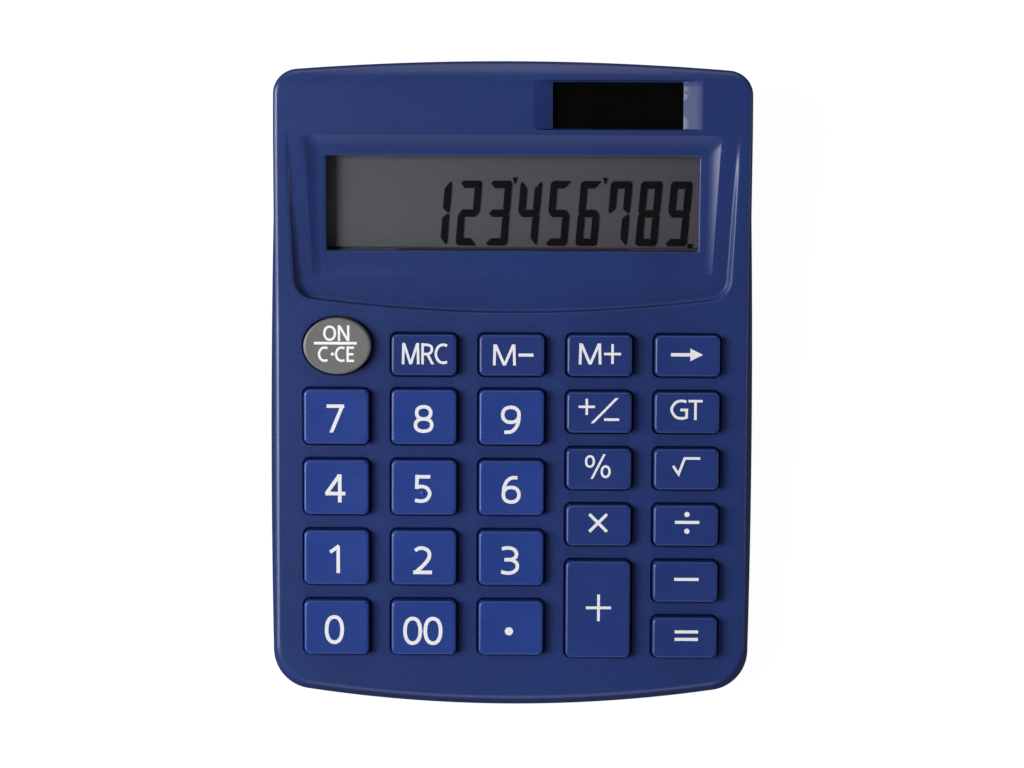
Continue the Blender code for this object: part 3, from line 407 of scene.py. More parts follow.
@dataclass(frozen=True)
class Shading:
    """How a piece's edges catch the light: crease angle, and a small rounding if any."""

    crease_degrees: float = 38.0
    round_width: float = 0.0
    round_segments: int = 3

    def apply(self, piece: bpy.types.Object) -> None:
        """Smooth the faces, keep the creases and weigh normals by face area.

        Args:
            piece: Object to shade.
        """
        piece.data.shade_smooth()
        piece.data.set_sharp_from_angle(angle=math.radians(self.crease_degrees))
        if self.round_width:
            edge = piece.modifiers.new("edge_round", "BEVEL")
            edge.width = self.round_width * MM
            edge.segments = self.round_segments
            edge.limit_method = "ANGLE"
            edge.angle_limit = math.radians(self.crease_degrees)
            edge.harden_normals = True
        weigh = piece.modifiers.new("weighted_normals", "WEIGHTED_NORMAL")
        weigh.keep_sharp = True


def install(mesh: bpy.types.Mesh, body: str, finish: "Finish", nodes: Sequence[str] = (),
            shading: Shading = Shading()) -> bpy.types.Object:
    """Place a new piece on its body, dress it, and report it.

    Args:
        mesh: Finished mesh, placed in its vertices.
        body: CAD body that the piece rides on.
        finish: Its finish.
        nodes: CAD nodes that the piece stands for.
        shading: How its edges are shaded.

    Returns:
        The new object.
    """
    piece = solid_object(mesh)
    mesh.materials.clear()
    mesh.materials.append(finish.material())
    shading.apply(piece)
    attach(piece, body)
    if nodes:
        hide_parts(*nodes)
    log.info("%s: %d faces on %s", piece.name, len(mesh.polygons), body)
    return piece


# ---------------------------------------------------------------- finishes


class NodeTree:
    """A new material's nodes, added and wired in few words."""

    def __init__(self, name: str) -> None:
        """Start a material with an output and the object's own coordinates."""
        self.material = bpy.data.materials.new(name)
        self.material.use_nodes = True
        self._tree = self.material.node_tree
        self._tree.nodes.clear()
        self._output = self.add("ShaderNodeOutputMaterial")
        self._place = self.add("ShaderNodeTexCoord").outputs["Object"]

    def add(self, kind: str, settings: dict | None = None, **sockets: object) -> bpy.types.Node:
        """Add a node, set its properties, and fill or link its named inputs.

        Args:
            kind: Type of the node.
            settings: Properties to set on it.
            **sockets: Inputs by name, with _ for a space: a value or an output.

        Returns:
            The node.
        """
        node = self._tree.nodes.new(kind)
        for name, value in (settings or {}).items():
            setattr(node, name, value)
        for name, value in sockets.items():
            self._feed(node.inputs[name.replace("_", " ")], value)
        return node

    def _feed(self, socket: bpy.types.NodeSocket, value: object) -> None:
        """Link a socket to another node's output, or set its own value."""
        if isinstance(value, bpy.types.NodeSocket):
            self._tree.links.new(value, socket)
        else:
            socket.default_value = value

    def noise(self, size: float, detail: float = 2.0,
              stretch: Sequence = (1.0, 1.0, 1.0)) -> bpy.types.NodeSocket:
        """Noise from 0 to 1 whose features are about a given size in millimetres."""
        spread = self.add("ShaderNodeMapping", Vector=self._place, Scale=tuple(stretch))
        made = self.add("ShaderNodeTexNoise", Vector=spread.outputs["Vector"],
                        Scale=1 / (size * MM), Detail=detail, Roughness=0.55)
        return made.outputs["Fac"]

    def mapped(self, value: bpy.types.NodeSocket, low: float, high: float,
               source: Sequence = (0.3, 0.7)) -> bpy.types.NodeSocket:
        """A value spread from a source range to a new range."""
        made = self.add("ShaderNodeMapRange", Value=value, From_Min=source[0], From_Max=source[1],
                        To_Min=low, To_Max=high)
        return made.outputs["Result"]

    def tinted(self, factor: bpy.types.NodeSocket | float, first: Color,
               second: Color) -> bpy.types.NodeSocket:
        """A colour between two colours.

        Args:
            factor: 0 gives the first colour and 1 the second.
            first: A colour or an output.
            second: A colour or an output.

        Returns:
            The colour output.
        """
        made = self.add("ShaderNodeMix", {"data_type": "RGBA"})
        self._feed(made.inputs[0], factor)
        for socket, color in ((made.inputs[6], first), (made.inputs[7], second)):
            self._feed(socket, color if isinstance(color, bpy.types.NodeSocket) else (*color, 1.0))
        return made.outputs[2]

    def maths(self, operation: str, first: object, second: object = 0.0) -> bpy.types.NodeSocket:
        """One arithmetic step on values."""
        made = self.add("ShaderNodeMath", {"operation": operation})
        for socket, value in zip(made.inputs, (first, second)):
            self._feed(socket, value)
        return made.outputs[0]

    def bump(self, height: bpy.types.NodeSocket, depth: float,
             over: bpy.types.NodeSocket | None = None) -> bpy.types.NodeSocket:
        """Surface relief of a given depth in millimetres, on top of another relief if given."""
        made = self.add("ShaderNodeBump", Height=height, Distance=depth * MM, Strength=1.0)
        if over is not None:
            self._tree.links.new(over, made.inputs["Normal"])
        return made.outputs["Normal"]

    def axes(self) -> tuple[bpy.types.NodeSocket, ...]:
        """The object's own x, y and z in metres."""
        split = self.add("ShaderNodeSeparateXYZ", Vector=self._place)
        return tuple(split.outputs)

    def principled(self, **sockets: object) -> bpy.types.Material:
        """Finish the material with one principled shader whose named inputs are given."""
        return self.surface(self.add("ShaderNodeBsdfPrincipled", **sockets).outputs[0])

    def surface(self, shader: bpy.types.NodeSocket) -> bpy.types.Material:
        """Join the shader to the output and hand over the material."""
        self._tree.links.new(shader, self._output.inputs["Surface"])
        return self.material


@dataclass(frozen=True)
class Finish:
    """A surface finish, made into one material that all pieces of that finish share."""

    name: str
    color: Color

    def material(self) -> bpy.types.Material:
        """The finish's material, made on first use under a name that no CAD material has."""
        label = "finish_" + self.name
        return bpy.data.materials.get(label) or self.make(NodeTree(label))

    def make(self, nodes: NodeTree) -> bpy.types.Material:
        """Wire the material's nodes."""
        raise NotImplementedError

    def shade(self, factor: float) -> Color:
        """The finish's colour made darker or lighter."""
        return tuple(c * factor for c in self.color)


@dataclass(frozen=True)
class MouldedPlastic(Finish):
    """Moulded plastic: spark-eroded grain, faint flow variation and a satin gloss."""

    roughness: float = 0.42
    grain: float = 0.22
    grain_depth: float = 0.006
    variation: float = 0.10
    specular: float = 0.5

    def make(self, nodes: NodeTree) -> bpy.types.Material:
        """Fine noise drives relief and gloss, wide noise drives the tone.

        Args:
            nodes: The new material's nodes.

        Returns:
            The material.
        """
        fine = nodes.noise(self.grain, 3.0)
        wide = nodes.noise(22.0, 2.0)
        speck = nodes.noise(0.7, 4.0)
        tone = nodes.mapped(nodes.maths("ADD", nodes.maths("MULTIPLY", wide, 0.7),
                                        nodes.maths("MULTIPLY", speck, 0.3)), 0.0, 1.0)
        color = nodes.tinted(tone, self.shade(1 - self.variation), self.shade(1 + self.variation))
        rough = nodes.mapped(speck, self.roughness - 0.035, self.roughness + 0.035)
        wave = nodes.bump(nodes.noise(9.0, 1.0), 0.006)
        relief = nodes.bump(fine, self.grain_depth, wave)
        return nodes.principled(Base_Color=color, Roughness=rough, Normal=relief,
                                Specular_IOR_Level=self.specular)


@dataclass(frozen=True)
class PrintedInk(Finish):
    """Pad-printed ink: thin, slightly uneven in cover, softer in gloss than the plastic."""

    under: Color = (0.03, 0.06, 0.25)

    def make(self, nodes: NodeTree) -> bpy.types.Material:
        """Fine speckle lets a little of the plastic show through the ink.

        Args:
            nodes: The new material's nodes.

        Returns:
            The material.
        """
        cover = nodes.mapped(nodes.noise(0.16, 4.0), 0.0, 0.16, (0.45, 0.8))
        tone = nodes.tinted(nodes.noise(1.6, 2.0), self.shade(0.94), self.shade(1.04))
        color = nodes.tinted(cover, tone, self.under)
        relief = nodes.bump(nodes.noise(0.12, 2.0), 0.003)
        return nodes.principled(Base_Color=color, Roughness=0.5, Normal=relief)


@dataclass(frozen=True)
class ClearPane(Finish):
    """Clear acrylic: light passes straight through, with a weak reflection and faint wipe marks."""

    grazing: float = 0.7

    def make(self, nodes: NodeTree) -> bpy.types.Material:
        """A transparent shader under a share of glossy surface that grows at a grazing view.

        Args:
            nodes: The new material's nodes.

        Returns:
            The material.
        """
        haze = nodes.mapped(nodes.noise(7.0, 4.0, (1.0, 3.0, 1.0)), 0.05, 0.12)
        clear = nodes.add("ShaderNodeBsdfTransparent", Color=(*self.color, 1.0))
        gloss = nodes.add("ShaderNodeBsdfPrincipled", Base_Color=(*self.color, 1.0), Roughness=haze,
                          Metallic=1.0)
        facing = nodes.add("ShaderNodeLayerWeight", Blend=0.25)
        share = nodes.mapped(facing.outputs["Fresnel"], 0.0, self.grazing, (0.0, 1.0))
        mixed = nodes.add("ShaderNodeMixShader", Fac=share)
        nodes.material.node_tree.links.new(clear.outputs[0], mixed.inputs[1])
        nodes.material.node_tree.links.new(gloss.outputs[0], mixed.inputs[2])
        return nodes.surface(mixed.outputs[0])


@dataclass(frozen=True)
class PolariserGlass(Finish):
    """Liquid crystal panel: grey polariser with a faint mottle, a greener cast at one side, and painted light
    falloff that darkens it towards +X.
    """

    half_width: float = 42.0

    def make(self, nodes: NodeTree) -> bpy.types.Material:
        """Colour is lighter and greener at -X: partly a greener tint, partly painted light falloff that darkens
        the side away from the key light; fine noise breaks up the reflector behind.

        Args:
            nodes: The new material's nodes.

        Returns:
            The material.
        """
        across = nodes.mapped(nodes.axes()[0], 0.0, 1.0, (-self.half_width * MM, self.half_width * MM))
        red, green, blue = self.color
        # Painted light falloff: lighter at -X, where the key light stands, and darker towards +X, with a
        # greener tint at -X.
        green_tint_and_painted_falloff = nodes.tinted(across, (red * 1.06, green * 1.12, blue * 1.06),
                             (red * 0.80, green * 0.78, blue * 0.80))
        sparkle = nodes.mapped(nodes.noise(0.14, 2.0), 0.0, 0.14)
        color = nodes.tinted(sparkle, green_tint_and_painted_falloff, self.shade(1.35))
        cloud = nodes.mapped(nodes.noise(6.0, 3.0), 0.29, 0.32)
        return nodes.principled(Base_Color=color, Roughness=cloud, Specular_IOR_Level=0.3)


@dataclass(frozen=True)
class CellGlass(Finish):
    """Amorphous solar panel: near-black glass over strips parted by hairlines."""

    centre: float = 22.6
    pitch: float = 7.6
    line: float = 0.12

    def make(self, nodes: NodeTree) -> bpy.types.Material:
        """Hairlines repeat at the strip pitch; noise tints the film between them.

        Args:
            nodes: The new material's nodes.

        Returns:
            The material.
        """
        along = nodes.maths("SUBTRACT", nodes.axes()[0], (self.centre - 40 * self.pitch) * MM)
        place = nodes.maths("PINGPONG", along, self.pitch * MM / 2)
        hairline = nodes.maths("LESS_THAN", place, self.line * MM / 2)
        film = nodes.tinted(nodes.noise(5.0, 2.0, (1.0, 0.3, 1.0)), self.shade(0.7), self.shade(1.5))
        color = nodes.tinted(nodes.maths("MULTIPLY", hairline, 0.15), film, (0.012, 0.010, 0.012))
        rough = nodes.mapped(nodes.noise(1.5, 3.0), 0.07, 0.12)
        return nodes.principled(Base_Color=color, Roughness=rough, Specular_IOR_Level=0.25)


@dataclass(frozen=True)
class SegmentInk(Finish):
    """Lit liquid crystal segments: near black, with the panel's own fine mottle."""

    def make(self, nodes: NodeTree) -> bpy.types.Material:
        """Mottled dark film.

        Args:
            nodes: The new material's nodes.

        Returns:
            The material.
        """
        color = nodes.tinted(nodes.noise(0.25, 2.0), self.shade(0.7), self.shade(1.4))
        rough = nodes.mapped(nodes.noise(0.8, 2.0), 0.30, 0.42)
        return nodes.principled(Base_Color=color, Roughness=rough, Specular_IOR_Level=0.2)


@dataclass(frozen=True)
class Rubber(Finish):
    """Silicone or foot rubber: matt, with a dusty bloom."""

    roughness: float = 0.75

    def make(self, nodes: NodeTree) -> bpy.types.Material:
        """Bloom lightens the colour where the noise is high.

        Args:
            nodes: The new material's nodes.

        Returns:
            The material.
        """
        bloom = nodes.mapped(nodes.noise(2.4, 5.0), 0.0, 0.35)
        color = nodes.tinted(bloom, self.color, self.shade(1.7))
        relief = nodes.bump(nodes.noise(0.3, 3.0), 0.02)
        rough = nodes.mapped(bloom, self.roughness - 0.05, self.roughness + 0.1, (0.0, 0.35))
        return nodes.principled(Base_Color=color, Roughness=rough, Normal=relief)


@dataclass(frozen=True)
class Metal(Finish):
    """Plated metal with fine drawing marks and a little tarnish."""

    roughness: float = 0.3

    def make(self, nodes: NodeTree) -> bpy.types.Material:
        """Stretched noise makes the drawing marks, round noise the tarnish.

        Args:
            nodes: The new material's nodes.

        Returns:
            The material.
        """
        drawn = nodes.noise(0.12, 3.0, (1.0, 0.12, 1.0))
        tarnish = nodes.mapped(nodes.noise(1.8, 4.0), 0.0, 1.0)
        color = nodes.tinted(tarnish, self.color, self.shade(0.72))
        rough = nodes.mapped(drawn, self.roughness - 0.06, self.roughness + 0.12)
        relief = nodes.bump(drawn, 0.004)
        return nodes.principled(Base_Color=color, Roughness=rough, Metallic=1.0, Normal=relief)


@dataclass(frozen=True)
class BoardLaminate(Finish):
    """Circuit board: solder mask over a weave, with lighter copper tracks under it."""

    track: float = 2.2

    def make(self, nodes: NodeTree) -> bpy.types.Material:
        """Tracks are level sets of a wide noise; the weave is two crossed fine noises.

        Args:
            nodes: The new material's nodes.

        Returns:
            The material.
        """
        wander = nodes.maths("PINGPONG", nodes.noise(self.track * 5, 1.0), 0.05)
        copper = nodes.mapped(wander, 0.0, 1.0, (0.018, 0.024))
        weave = nodes.maths("ADD", nodes.noise(0.4, 1.0, (1.0, 0.2, 1.0)),
                            nodes.noise(0.4, 1.0, (0.2, 1.0, 1.0)))
        mask = nodes.tinted(nodes.mapped(weave, 0.0, 1.0, (0.7, 1.3)), self.shade(0.8), self.shade(1.2))
        color = nodes.tinted(copper, mask, self.shade(1.8))
        relief = nodes.bump(copper, 0.02)
        return nodes.principled(Base_Color=color, Roughness=0.35, Normal=relief)


@dataclass(frozen=True)
class Backdrop(Finish):
    """Pale sweep of paper: lit from above and faintly glowing, so it reads as clean white."""

    glow: float = 0.9

    def make(self, nodes: NodeTree) -> bpy.types.Material:
        """Paper fibre in tone and relief.

        Args:
            nodes: The new material's nodes.

        Returns:
            The material.
        """
        fibre = nodes.noise(1.2, 4.0)
        color = nodes.tinted(fibre, self.shade(0.985), self.color)
        return nodes.principled(Base_Color=color, Roughness=0.9, Emission_Color=(1.0, 1.0, 1.0, 1.0),
                                Emission_Strength=self.glow)


class Palette:
    """The finishes of the whole calculator."""

    shell = MouldedPlastic("navy_plastic", (0.0133, 0.0275, 0.118), 0.32, 0.20, 0.002, specular=0.40)
    base = MouldedPlastic("navy_base_plastic", (0.0125, 0.027, 0.118), 0.38, 0.26, 0.004, specular=0.35)
    digit_key = MouldedPlastic("digit_key_plastic", (0.0140, 0.0365, 0.188), 0.31, 0.30, 0.0015,
                               specular=0.40)
    function_key = MouldedPlastic("function_key_plastic", (0.0132, 0.0285, 0.137), 0.31, 0.30, 0.0015,
                                  specular=0.40)
    clear_key = MouldedPlastic("clear_key_plastic", (0.118, 0.118, 0.117), 0.40, 0.30, 0.004, 0.04)
    ink = PrintedInk("legend_ink", (0.66, 0.66, 0.68))
    ink_on_grey = PrintedInk("legend_ink_on_grey", (0.76, 0.76, 0.76), (0.2, 0.2, 0.2))
    pane = ClearPane("clear_acrylic", (0.97, 0.98, 0.98))
    panel = PolariserGlass("lcd_glass", (0.115, 0.109, 0.126))
    segments = SegmentInk("lcd_segments", (0.0045, 0.0045, 0.0055))
    solar = CellGlass("solar_glass", (0.0016, 0.0016, 0.0019))
    holder = MouldedPlastic("holder_plastic", (0.030, 0.030, 0.033), 0.5)
    keypad = Rubber("keypad_rubber", (0.40, 0.41, 0.41))
    foot = Rubber("foot_rubber", (0.018, 0.018, 0.018), 0.8)
    board = BoardLaminate("board_laminate", (0.02, 0.13, 0.05))
    resin = MouldedPlastic("chip_resin", (0.010, 0.010, 0.010), 0.4, 0.15, 0.01)
    film = MouldedPlastic("ribbon_film", (0.024, 0.020, 0.016), 0.45, 1.2, 0.004)
    steel = Metal("screw_steel", (0.52, 0.52, 0.54), 0.32)
    nickel = Metal("cell_nickel", (0.62, 0.62, 0.61), 0.22)
    brass = Metal("contact_brass", (0.72, 0.52, 0.24), 0.28)
    red_wire = MouldedPlastic("red_insulation", (0.42, 0.015, 0.012), 0.45, 0.5, 0.004)
    black_wire = MouldedPlastic("black_insulation", (0.012, 0.012, 0.012), 0.45, 0.5, 0.004)
    paper = Backdrop("studio_paper", (0.07, 0.07, 0.07), 0.96)


# ---------------------------------------------------------------- housing


@dataclass(frozen=True)
class HousingShape:
    """Sizes and height formulas that both shells share."""

    width: float = 106.6
    length: float = 141.0
    side_radius: float = 2212.0
    rear_radius: float = 565.0
    front_radius: float = 310.0
    rear_corner: float = 5.5
    front_corner: float = 9.0
    top_width: float = 103.2
    top_side_radius: float = 40000.0
    top_rear: float = 69.9
    top_front: float = -69.0
    parting: float = 7.2
    gap: float = 0.3
    front_z: float = 11.2
    deck_slope: float = math.tan(math.radians(5.5))
    bend: tuple[float, float] = (16.5, 4.0)
    shoulder: tuple[float, float] = (54.0, 2.0)
    rear_band: tuple[float, float] = (66.0, 2.4)
    shoulder_slope: float = 0.1778
    band_slope: float = 0.075
    rear_slope: float = -0.4667

    def outline(self, inset: float, half: float, side: float, rear: float, front: float) -> Array:
        """Four gentle arcs joined by tangent corner arcs, moved inwards by an inset.

        Args:
            inset: Distance inwards.
            half: Half of the width at the middle.
            side: Radius of the long sides.
            rear: Reach towards +Y.
            front: Reach towards -Y, a negative number.

        Returns:
            Counter-clockwise points from the middle of the front edge.
        """
        right = np.array([half - side, 0.0])
        back = np.array([0.0, rear - self.rear_radius])
        fore = np.array([0.0, front + self.front_radius])
        back_corner = self._meeting(right, side - self.rear_corner, back, self.rear_radius - self.rear_corner,
                                    (half, rear))
        fore_corner = self._meeting(right, side - self.front_corner, fore,
                                    self.front_radius - self.front_corner, (half, front))
        front_end, side_start = bearing(fore, fore_corner), bearing(right, fore_corner)
        side_end, rear_start = bearing(right, back_corner), bearing(back, back_corner)
        one_side = np.concatenate([
            arc(fore, self.front_radius - inset, -math.pi / 2, front_end, 40),
            arc(fore_corner, self.front_corner - inset, front_end, side_start, 24),
            arc(right, side - inset, side_start, side_end, 110),
            arc(back_corner, self.rear_corner - inset, side_end, rear_start, 20),
            arc(back, self.rear_radius - inset, rear_start, math.pi / 2, 40),
        ])
        other_side = one_side[:0:-1] * (-1.0, 1.0)
        return np.concatenate([one_side, [(0.0, rear - inset)], other_side])

    def _meeting(self, first: Array, first_radius: float, second: Array, second_radius: float,
                 near: Sequence) -> Array:
        """The crossing of two circles that lies nearest to a point.

        Args:
            first: Centre of one circle.
            first_radius: Its radius.
            second: Centre of the other circle.
            second_radius: Its radius.
            near: Point that picks the crossing.

        Returns:
            The crossing.
        """
        between = second - first
        apart = np.linalg.norm(between)
        along = (apart**2 + first_radius**2 - second_radius**2) / (2 * apart)
        across = math.sqrt(first_radius**2 - along**2)
        foot = first + along * between / apart
        aside = np.array([-between[1], between[0]]) / apart * across
        return min((foot + aside, foot - aside), key=lambda point: np.linalg.norm(point - near))

    def base(self, inset: float) -> Array:
        """Outline at the parting line."""
        return self.outline(inset, self.width / 2, self.side_radius, self.length / 2, -self.length / 2)

    def top(self, inset: float) -> Array:
        """Outline of the upper shell's top edge."""
        return self.outline(inset, self.top_width / 2, self.top_side_radius, self.top_rear, self.top_front)

    def crown(self, y: Array) -> Array:
        """Height of the top face: straight runs whose changes of slope are softened."""
        height = self.front_z + (y - self.top_front) * self.deck_slope
        slopes = (self.deck_slope, self.shoulder_slope, self.band_slope, self.rear_slope)
        for (knot, soft), before, after in zip((self.bend, self.shoulder, self.rear_band), slopes,
                                               slopes[1:]):
            height = height + (after - before) * soft_ramp(y - knot, soft)
        return height

    def flank(self, inset: float, height: float | Array) -> Array:
        """Points on the side walls: straight lines from the parting outline to the top edge."""
        low, high = self.base(inset), self.top(inset)
        share = (height - self.parting) / (self.crown(high[:, 1]) - self.parting)
        plan = low + (high - low) * share[:, None]
        return np.column_stack([plan, np.broadcast_to(height, len(plan))])

    def level(self, inset: float, height: float) -> Array:
        """Parting outline moved inwards, at a height."""
        return levelled(self.base(inset), height)


@dataclass(frozen=True)
class Relief:
    """A place where the top face sinks, step by step, from an outer outline to an inner one."""

    loops: list[Array]
    shares: Array
    depth: Callable[[Array], Array]


@dataclass(frozen=True)
class Opening:
    """A hole through the top face: its rounded lip, and the foot of its wall."""

    lip: Relief
    foot: Array


@dataclass
class UpperShell:
    """Upper shell: deck, shoulders, display recess, dished frame, solar recess and key holes."""

    shape: HousingShape
    deck: Plane
    glass: Plane
    solar: Plane
    keys: Sequence["KeyCap"]
    edge_round: float = 1.05
    wall: float = 2.0
    recess_step: float = 2.0
    recess_half: tuple[float, float] = (47.0, 48.6)
    recess_low: float = 16.2
    recess_top: float = 54.55
    recess_radius: float = 340.0
    recess_corner: float = 4.5
    recess_lip: tuple[float, float] = (0.60, -0.40)
    dish_depth: tuple[float, float] = (0.34, 0.88)
    dish_rows: tuple[float, float] = (26.6, 50.15)
    dish_outer: tuple[float, float, float, float] = (43.4, 45.0, 23.6, 54.0)
    dish_inner: float = 41.7
    window: tuple[float, float, float] = (80.7, 20.8, 0.6)
    window_lip: float = 0.28
    solar_opening: tuple[float, float] = (28.1, 10.1)
    solar_ramp: float = 3.9
    solar_recess: float = 1.0
    solar_lip: float = 0.24
    hole_lip: float = 0.28
    hole_gap: float = 0.3

    def recess_outline(self, grow: float) -> Array:
        """Display recess: tapered sides, round lower corners and a gently bowed lower edge.

        Args:
            grow: Distance outwards.

        Returns:
            Closed outline, counter-clockwise.
        """
        half_low, half_top = (half + grow for half in self.recess_half)
        low, corner, bow = self.recess_low - grow, self.recess_corner + grow, self.recess_radius + grow
        corner_x = half_low - corner
        corner_y = low + bow - math.sqrt((bow - corner) ** 2 - corner_x**2)
        lean = math.asin(corner_x / (bow - corner))
        floor = arc((0.0, low + bow), bow, -math.pi / 2, lean - math.pi / 2, 90)
        bend = arc((corner_x, corner_y), corner, lean - math.pi / 2, 0.0, 20)
        rise = np.linspace(0, 1, 60)[:, None]
        side = np.array([half_low, corner_y]) * (1 - rise) + np.array([half_top,
                                                                       self.recess_top + 0.36 * grow]) * rise
        half = np.concatenate([floor, bend, side])
        return np.concatenate([half, half[:0:-1] * (-1.0, 1.0)])

    def recess(self) -> Relief:
        """Step round the display: a half wave from lip to floor, with guard loops beside it.

        Returns:
            The relief.
        """
        steps = np.concatenate([[0.0, 0.0], np.linspace(0, 1, 11), [1.0, 1.0]])
        outer, inner = self.recess_lip
        reach = np.array([1.0, 0.5, *[0.0] * 11, -0.5, -1.1])
        loops = [self.recess_outline(outer + (inner - outer) * t + guard) for t, guard in zip(steps, reach)]
        rate = self.recess_step / (self.shape.shoulder[0] - self.shape.bend[0])
        return Relief(loops, np.sin(steps * math.pi / 2) ** 2,
                      lambda p: rate * soft_ramp(self.shape.shoulder[0] - p[:, 1], 1.5))

    def dish(self) -> Relief:
        """Frame round the window: steep at its outer crease, running out level at the window.

        Returns:
            The relief.
        """
        low_half, top_half, low, top = self.dish_outer
        outer = rounded_polygon([(-low_half, low), (low_half, low), (top_half, top), (-top_half, top)],
                                (1.6, 1.6, 2.0, 2.0), 12, 40)
        low_row, top_row = self.dish_rows
        x = self.dish_inner
        inner = rounded_polygon([(-x, low_row), (x, low_row), (x, top_row), (-x, top_row)], 0.9, 12, 40)
        steps = np.array([0, 0.06, 0.16, 0.28, 0.42, 0.56, 0.70, 0.85, 1.0])
        low_depth, top_depth = self.dish_depth
        slope = (top_depth - low_depth) / (top_row - low_row)
        return Relief([outer + (inner - outer) * t for t in steps], 1 - (1 - steps) ** 1.7,
                      lambda p: low_depth + slope * (np.clip(p[:, 1], low_row, top_row) - low_row))

    def _lip(self, outline: Array, plane: Plane, radius: float) -> Relief:
        """Quarter-round lip at the edge of a hole."""
        angle = np.linspace(0, math.pi / 2, 5)
        loops = [plane.raised(grown(outline, radius * (1 - math.sin(a))), 0.0)[:, :2] for a in angle]
        return Relief(loops, 1 - np.cos(angle), lambda p: np.full(len(p), radius))

    def solar_bay(self) -> Relief:
        """Recess of the solar panel: its two end ramps run out to the top face.

        Returns:
            The relief.
        """
        half = self.solar_opening[0] / 2
        depth = self.solar_opening[1] + 0.2
        reach = half + self.solar_ramp
        steps = np.linspace(0, 1, 5)
        base = rectangle(2 * reach, depth, 0.25, arc_steps=4, edge_steps=36)
        loops = [self.solar.raised(grown(base, self.solar_lip * (1 - t)), 0.0)[:, :2] for t in steps]

        def depth_at(plan: Array) -> Array:
            """Full depth between the ramps, running out to nothing at their ends."""
            ramp = soft_ramp((reach - np.abs(plan[:, 0] - self.solar.x)) / self.solar_ramp, 0.14)
            return self.solar_recess * np.minimum(ramp, 1.0)

        return Relief(loops, np.sin(steps * math.pi / 2) ** 2, depth_at)

    def openings(self) -> list[Opening]:
        """Window, solar opening and the hole of every key.

        Returns:
            The openings, window first and solar opening second.
        """
        width, depth, corner = self.window
        made = []
        for outline, plane, lip, foot in (
            (rectangle(width, depth, corner, edge_steps=50), self.glass, self.window_lip, -self.wall),
            (rectangle(*self.solar_opening, 0.2, arc_steps=4, edge_steps=24), self.solar, 0.06,
             -self.wall + 0.1),
        ):
            made.append(Opening(self._lip(outline, plane, lip), plane.raised(outline, foot)))
        for key in self.keys:
            hole = key.outline(self.hole_gap)
            made.append(Opening(self._lip(hole, self.deck, self.hole_lip),
                                self.deck.raised(hole, -self.wall)))
        return made

    def ceiling(self, y: Array) -> Array:
        """Height of the hidden inside face, a wall's thickness below the lowest face above it.

        Args:
            y: Places along the length.

        Returns:
            A height for each.
        """
        deck = self.shape.front_z + (y - self.shape.top_front) * self.shape.deck_slope - self.wall
        deck_end, frame_start, frame_end = 12.5, 14.2, self.shape.shoulder[0]
        last = self.shape.front_z + (deck_end - self.shape.top_front) * self.shape.deck_slope - self.wall
        frame = [self.glass.z + (row - self.glass.y) * math.tan(self.glass.tilt) - self.wall
                 for row in (frame_start, frame_end)]
        rear = np.interp(y, (deck_end, frame_start, frame_end, 56.0, 64.5, 70.0),
                         (last, *frame, 23.7, 24.0, 21.5))
        return np.where(y < deck_end, deck, rear)

    def build(self) -> bpy.types.Object:
        """Make the shell: a height field over the plan, joined to walls, flanks and ceiling.

        Returns:
            The piece.
        """
        shape, surface = self.shape, Surface()
        edge_plan = shape.top(self.edge_round)
        edge = np.column_stack([edge_plan, shape.crown(edge_plan[:, 1])])
        openings = self.openings()
        reliefs = [self.recess(), self.dish(), self.solar_bay()] + [opening.lip for opening in openings]
        loops = [edge_plan] + [loop for relief in reliefs for loop in relief.loops]
        loose = self._loose_points(loops, reliefs, openings)
        plan, corners = triangulated(loops, loose)
        height = shape.crown(plan[:, 1])
        first = len(edge_plan)
        rims = []
        for relief in reliefs:
            share = contains(relief.loops[-1], plan).astype(float)
            for loop, value in zip(relief.loops, relief.shares):
                share[first : first + len(loop)] = value
                first += len(loop)
            rims.append(np.arange(first - len(relief.loops[-1]), first))
            height = height - relief.depth(plan) * share
        middle = plan[corners].mean(axis=1)
        kept = contains(edge_plan, middle)
        for opening in openings:
            kept &= ~contains(opening.lip.loops[-1], middle)
        top = surface.add(np.column_stack([plan, height]))
        surface.triangles(top[corners[kept]])
        feet = []
        for opening, rim in zip(openings, rims[3:]):
            foot = surface.add(opening.foot)
            surface.bands(np.stack([top[rim], foot]))
            feet.append(foot)
        inner = self._flanks(surface, top[: len(edge_plan)], edge)
        self._ceiling_face(surface, inner, openings, feet)
        return install(surface.mesh("upper_shell"), HOUSING, Palette.shell, ["upper_case"])

    def _loose_points(self, loops: Sequence[Array], reliefs: Sequence[Relief],
                      openings: Sequence[Opening]) -> Array:
        """Rows of points that follow the bends of the top face, clear of every outline.

        Args:
            loops: Every outline of the plan.
            reliefs: Places where the top face sinks.
            openings: Holes through it.

        Returns:
            Points of shape (n, 2).
        """
        rows = np.concatenate([np.arange(12.0, 21.5, 0.8), np.arange(51.0, 57.5, 0.6),
                               np.arange(62.4, 69.6, 0.35)])
        spread = grid(np.arange(-50.0, 50.1, 2.0), rows)
        ramp = grid(self.solar.x + np.array([-17.6, -17.2, -16.6, 16.6, 17.2, 17.6]),
                    self.solar.y + np.linspace(-4.2, 4.2, 7))
        spread = np.concatenate([spread, ramp])
        spread = spread[contains(loops[0], spread)]
        for relief in reliefs:
            spread = spread[~contains(relief.loops[0], spread) | contains(relief.loops[-1], spread)]
        for opening in openings:
            spread = spread[~contains(opening.lip.loops[0], spread)]
        return spread[clear_of(spread, np.concatenate(loops), 0.3)]

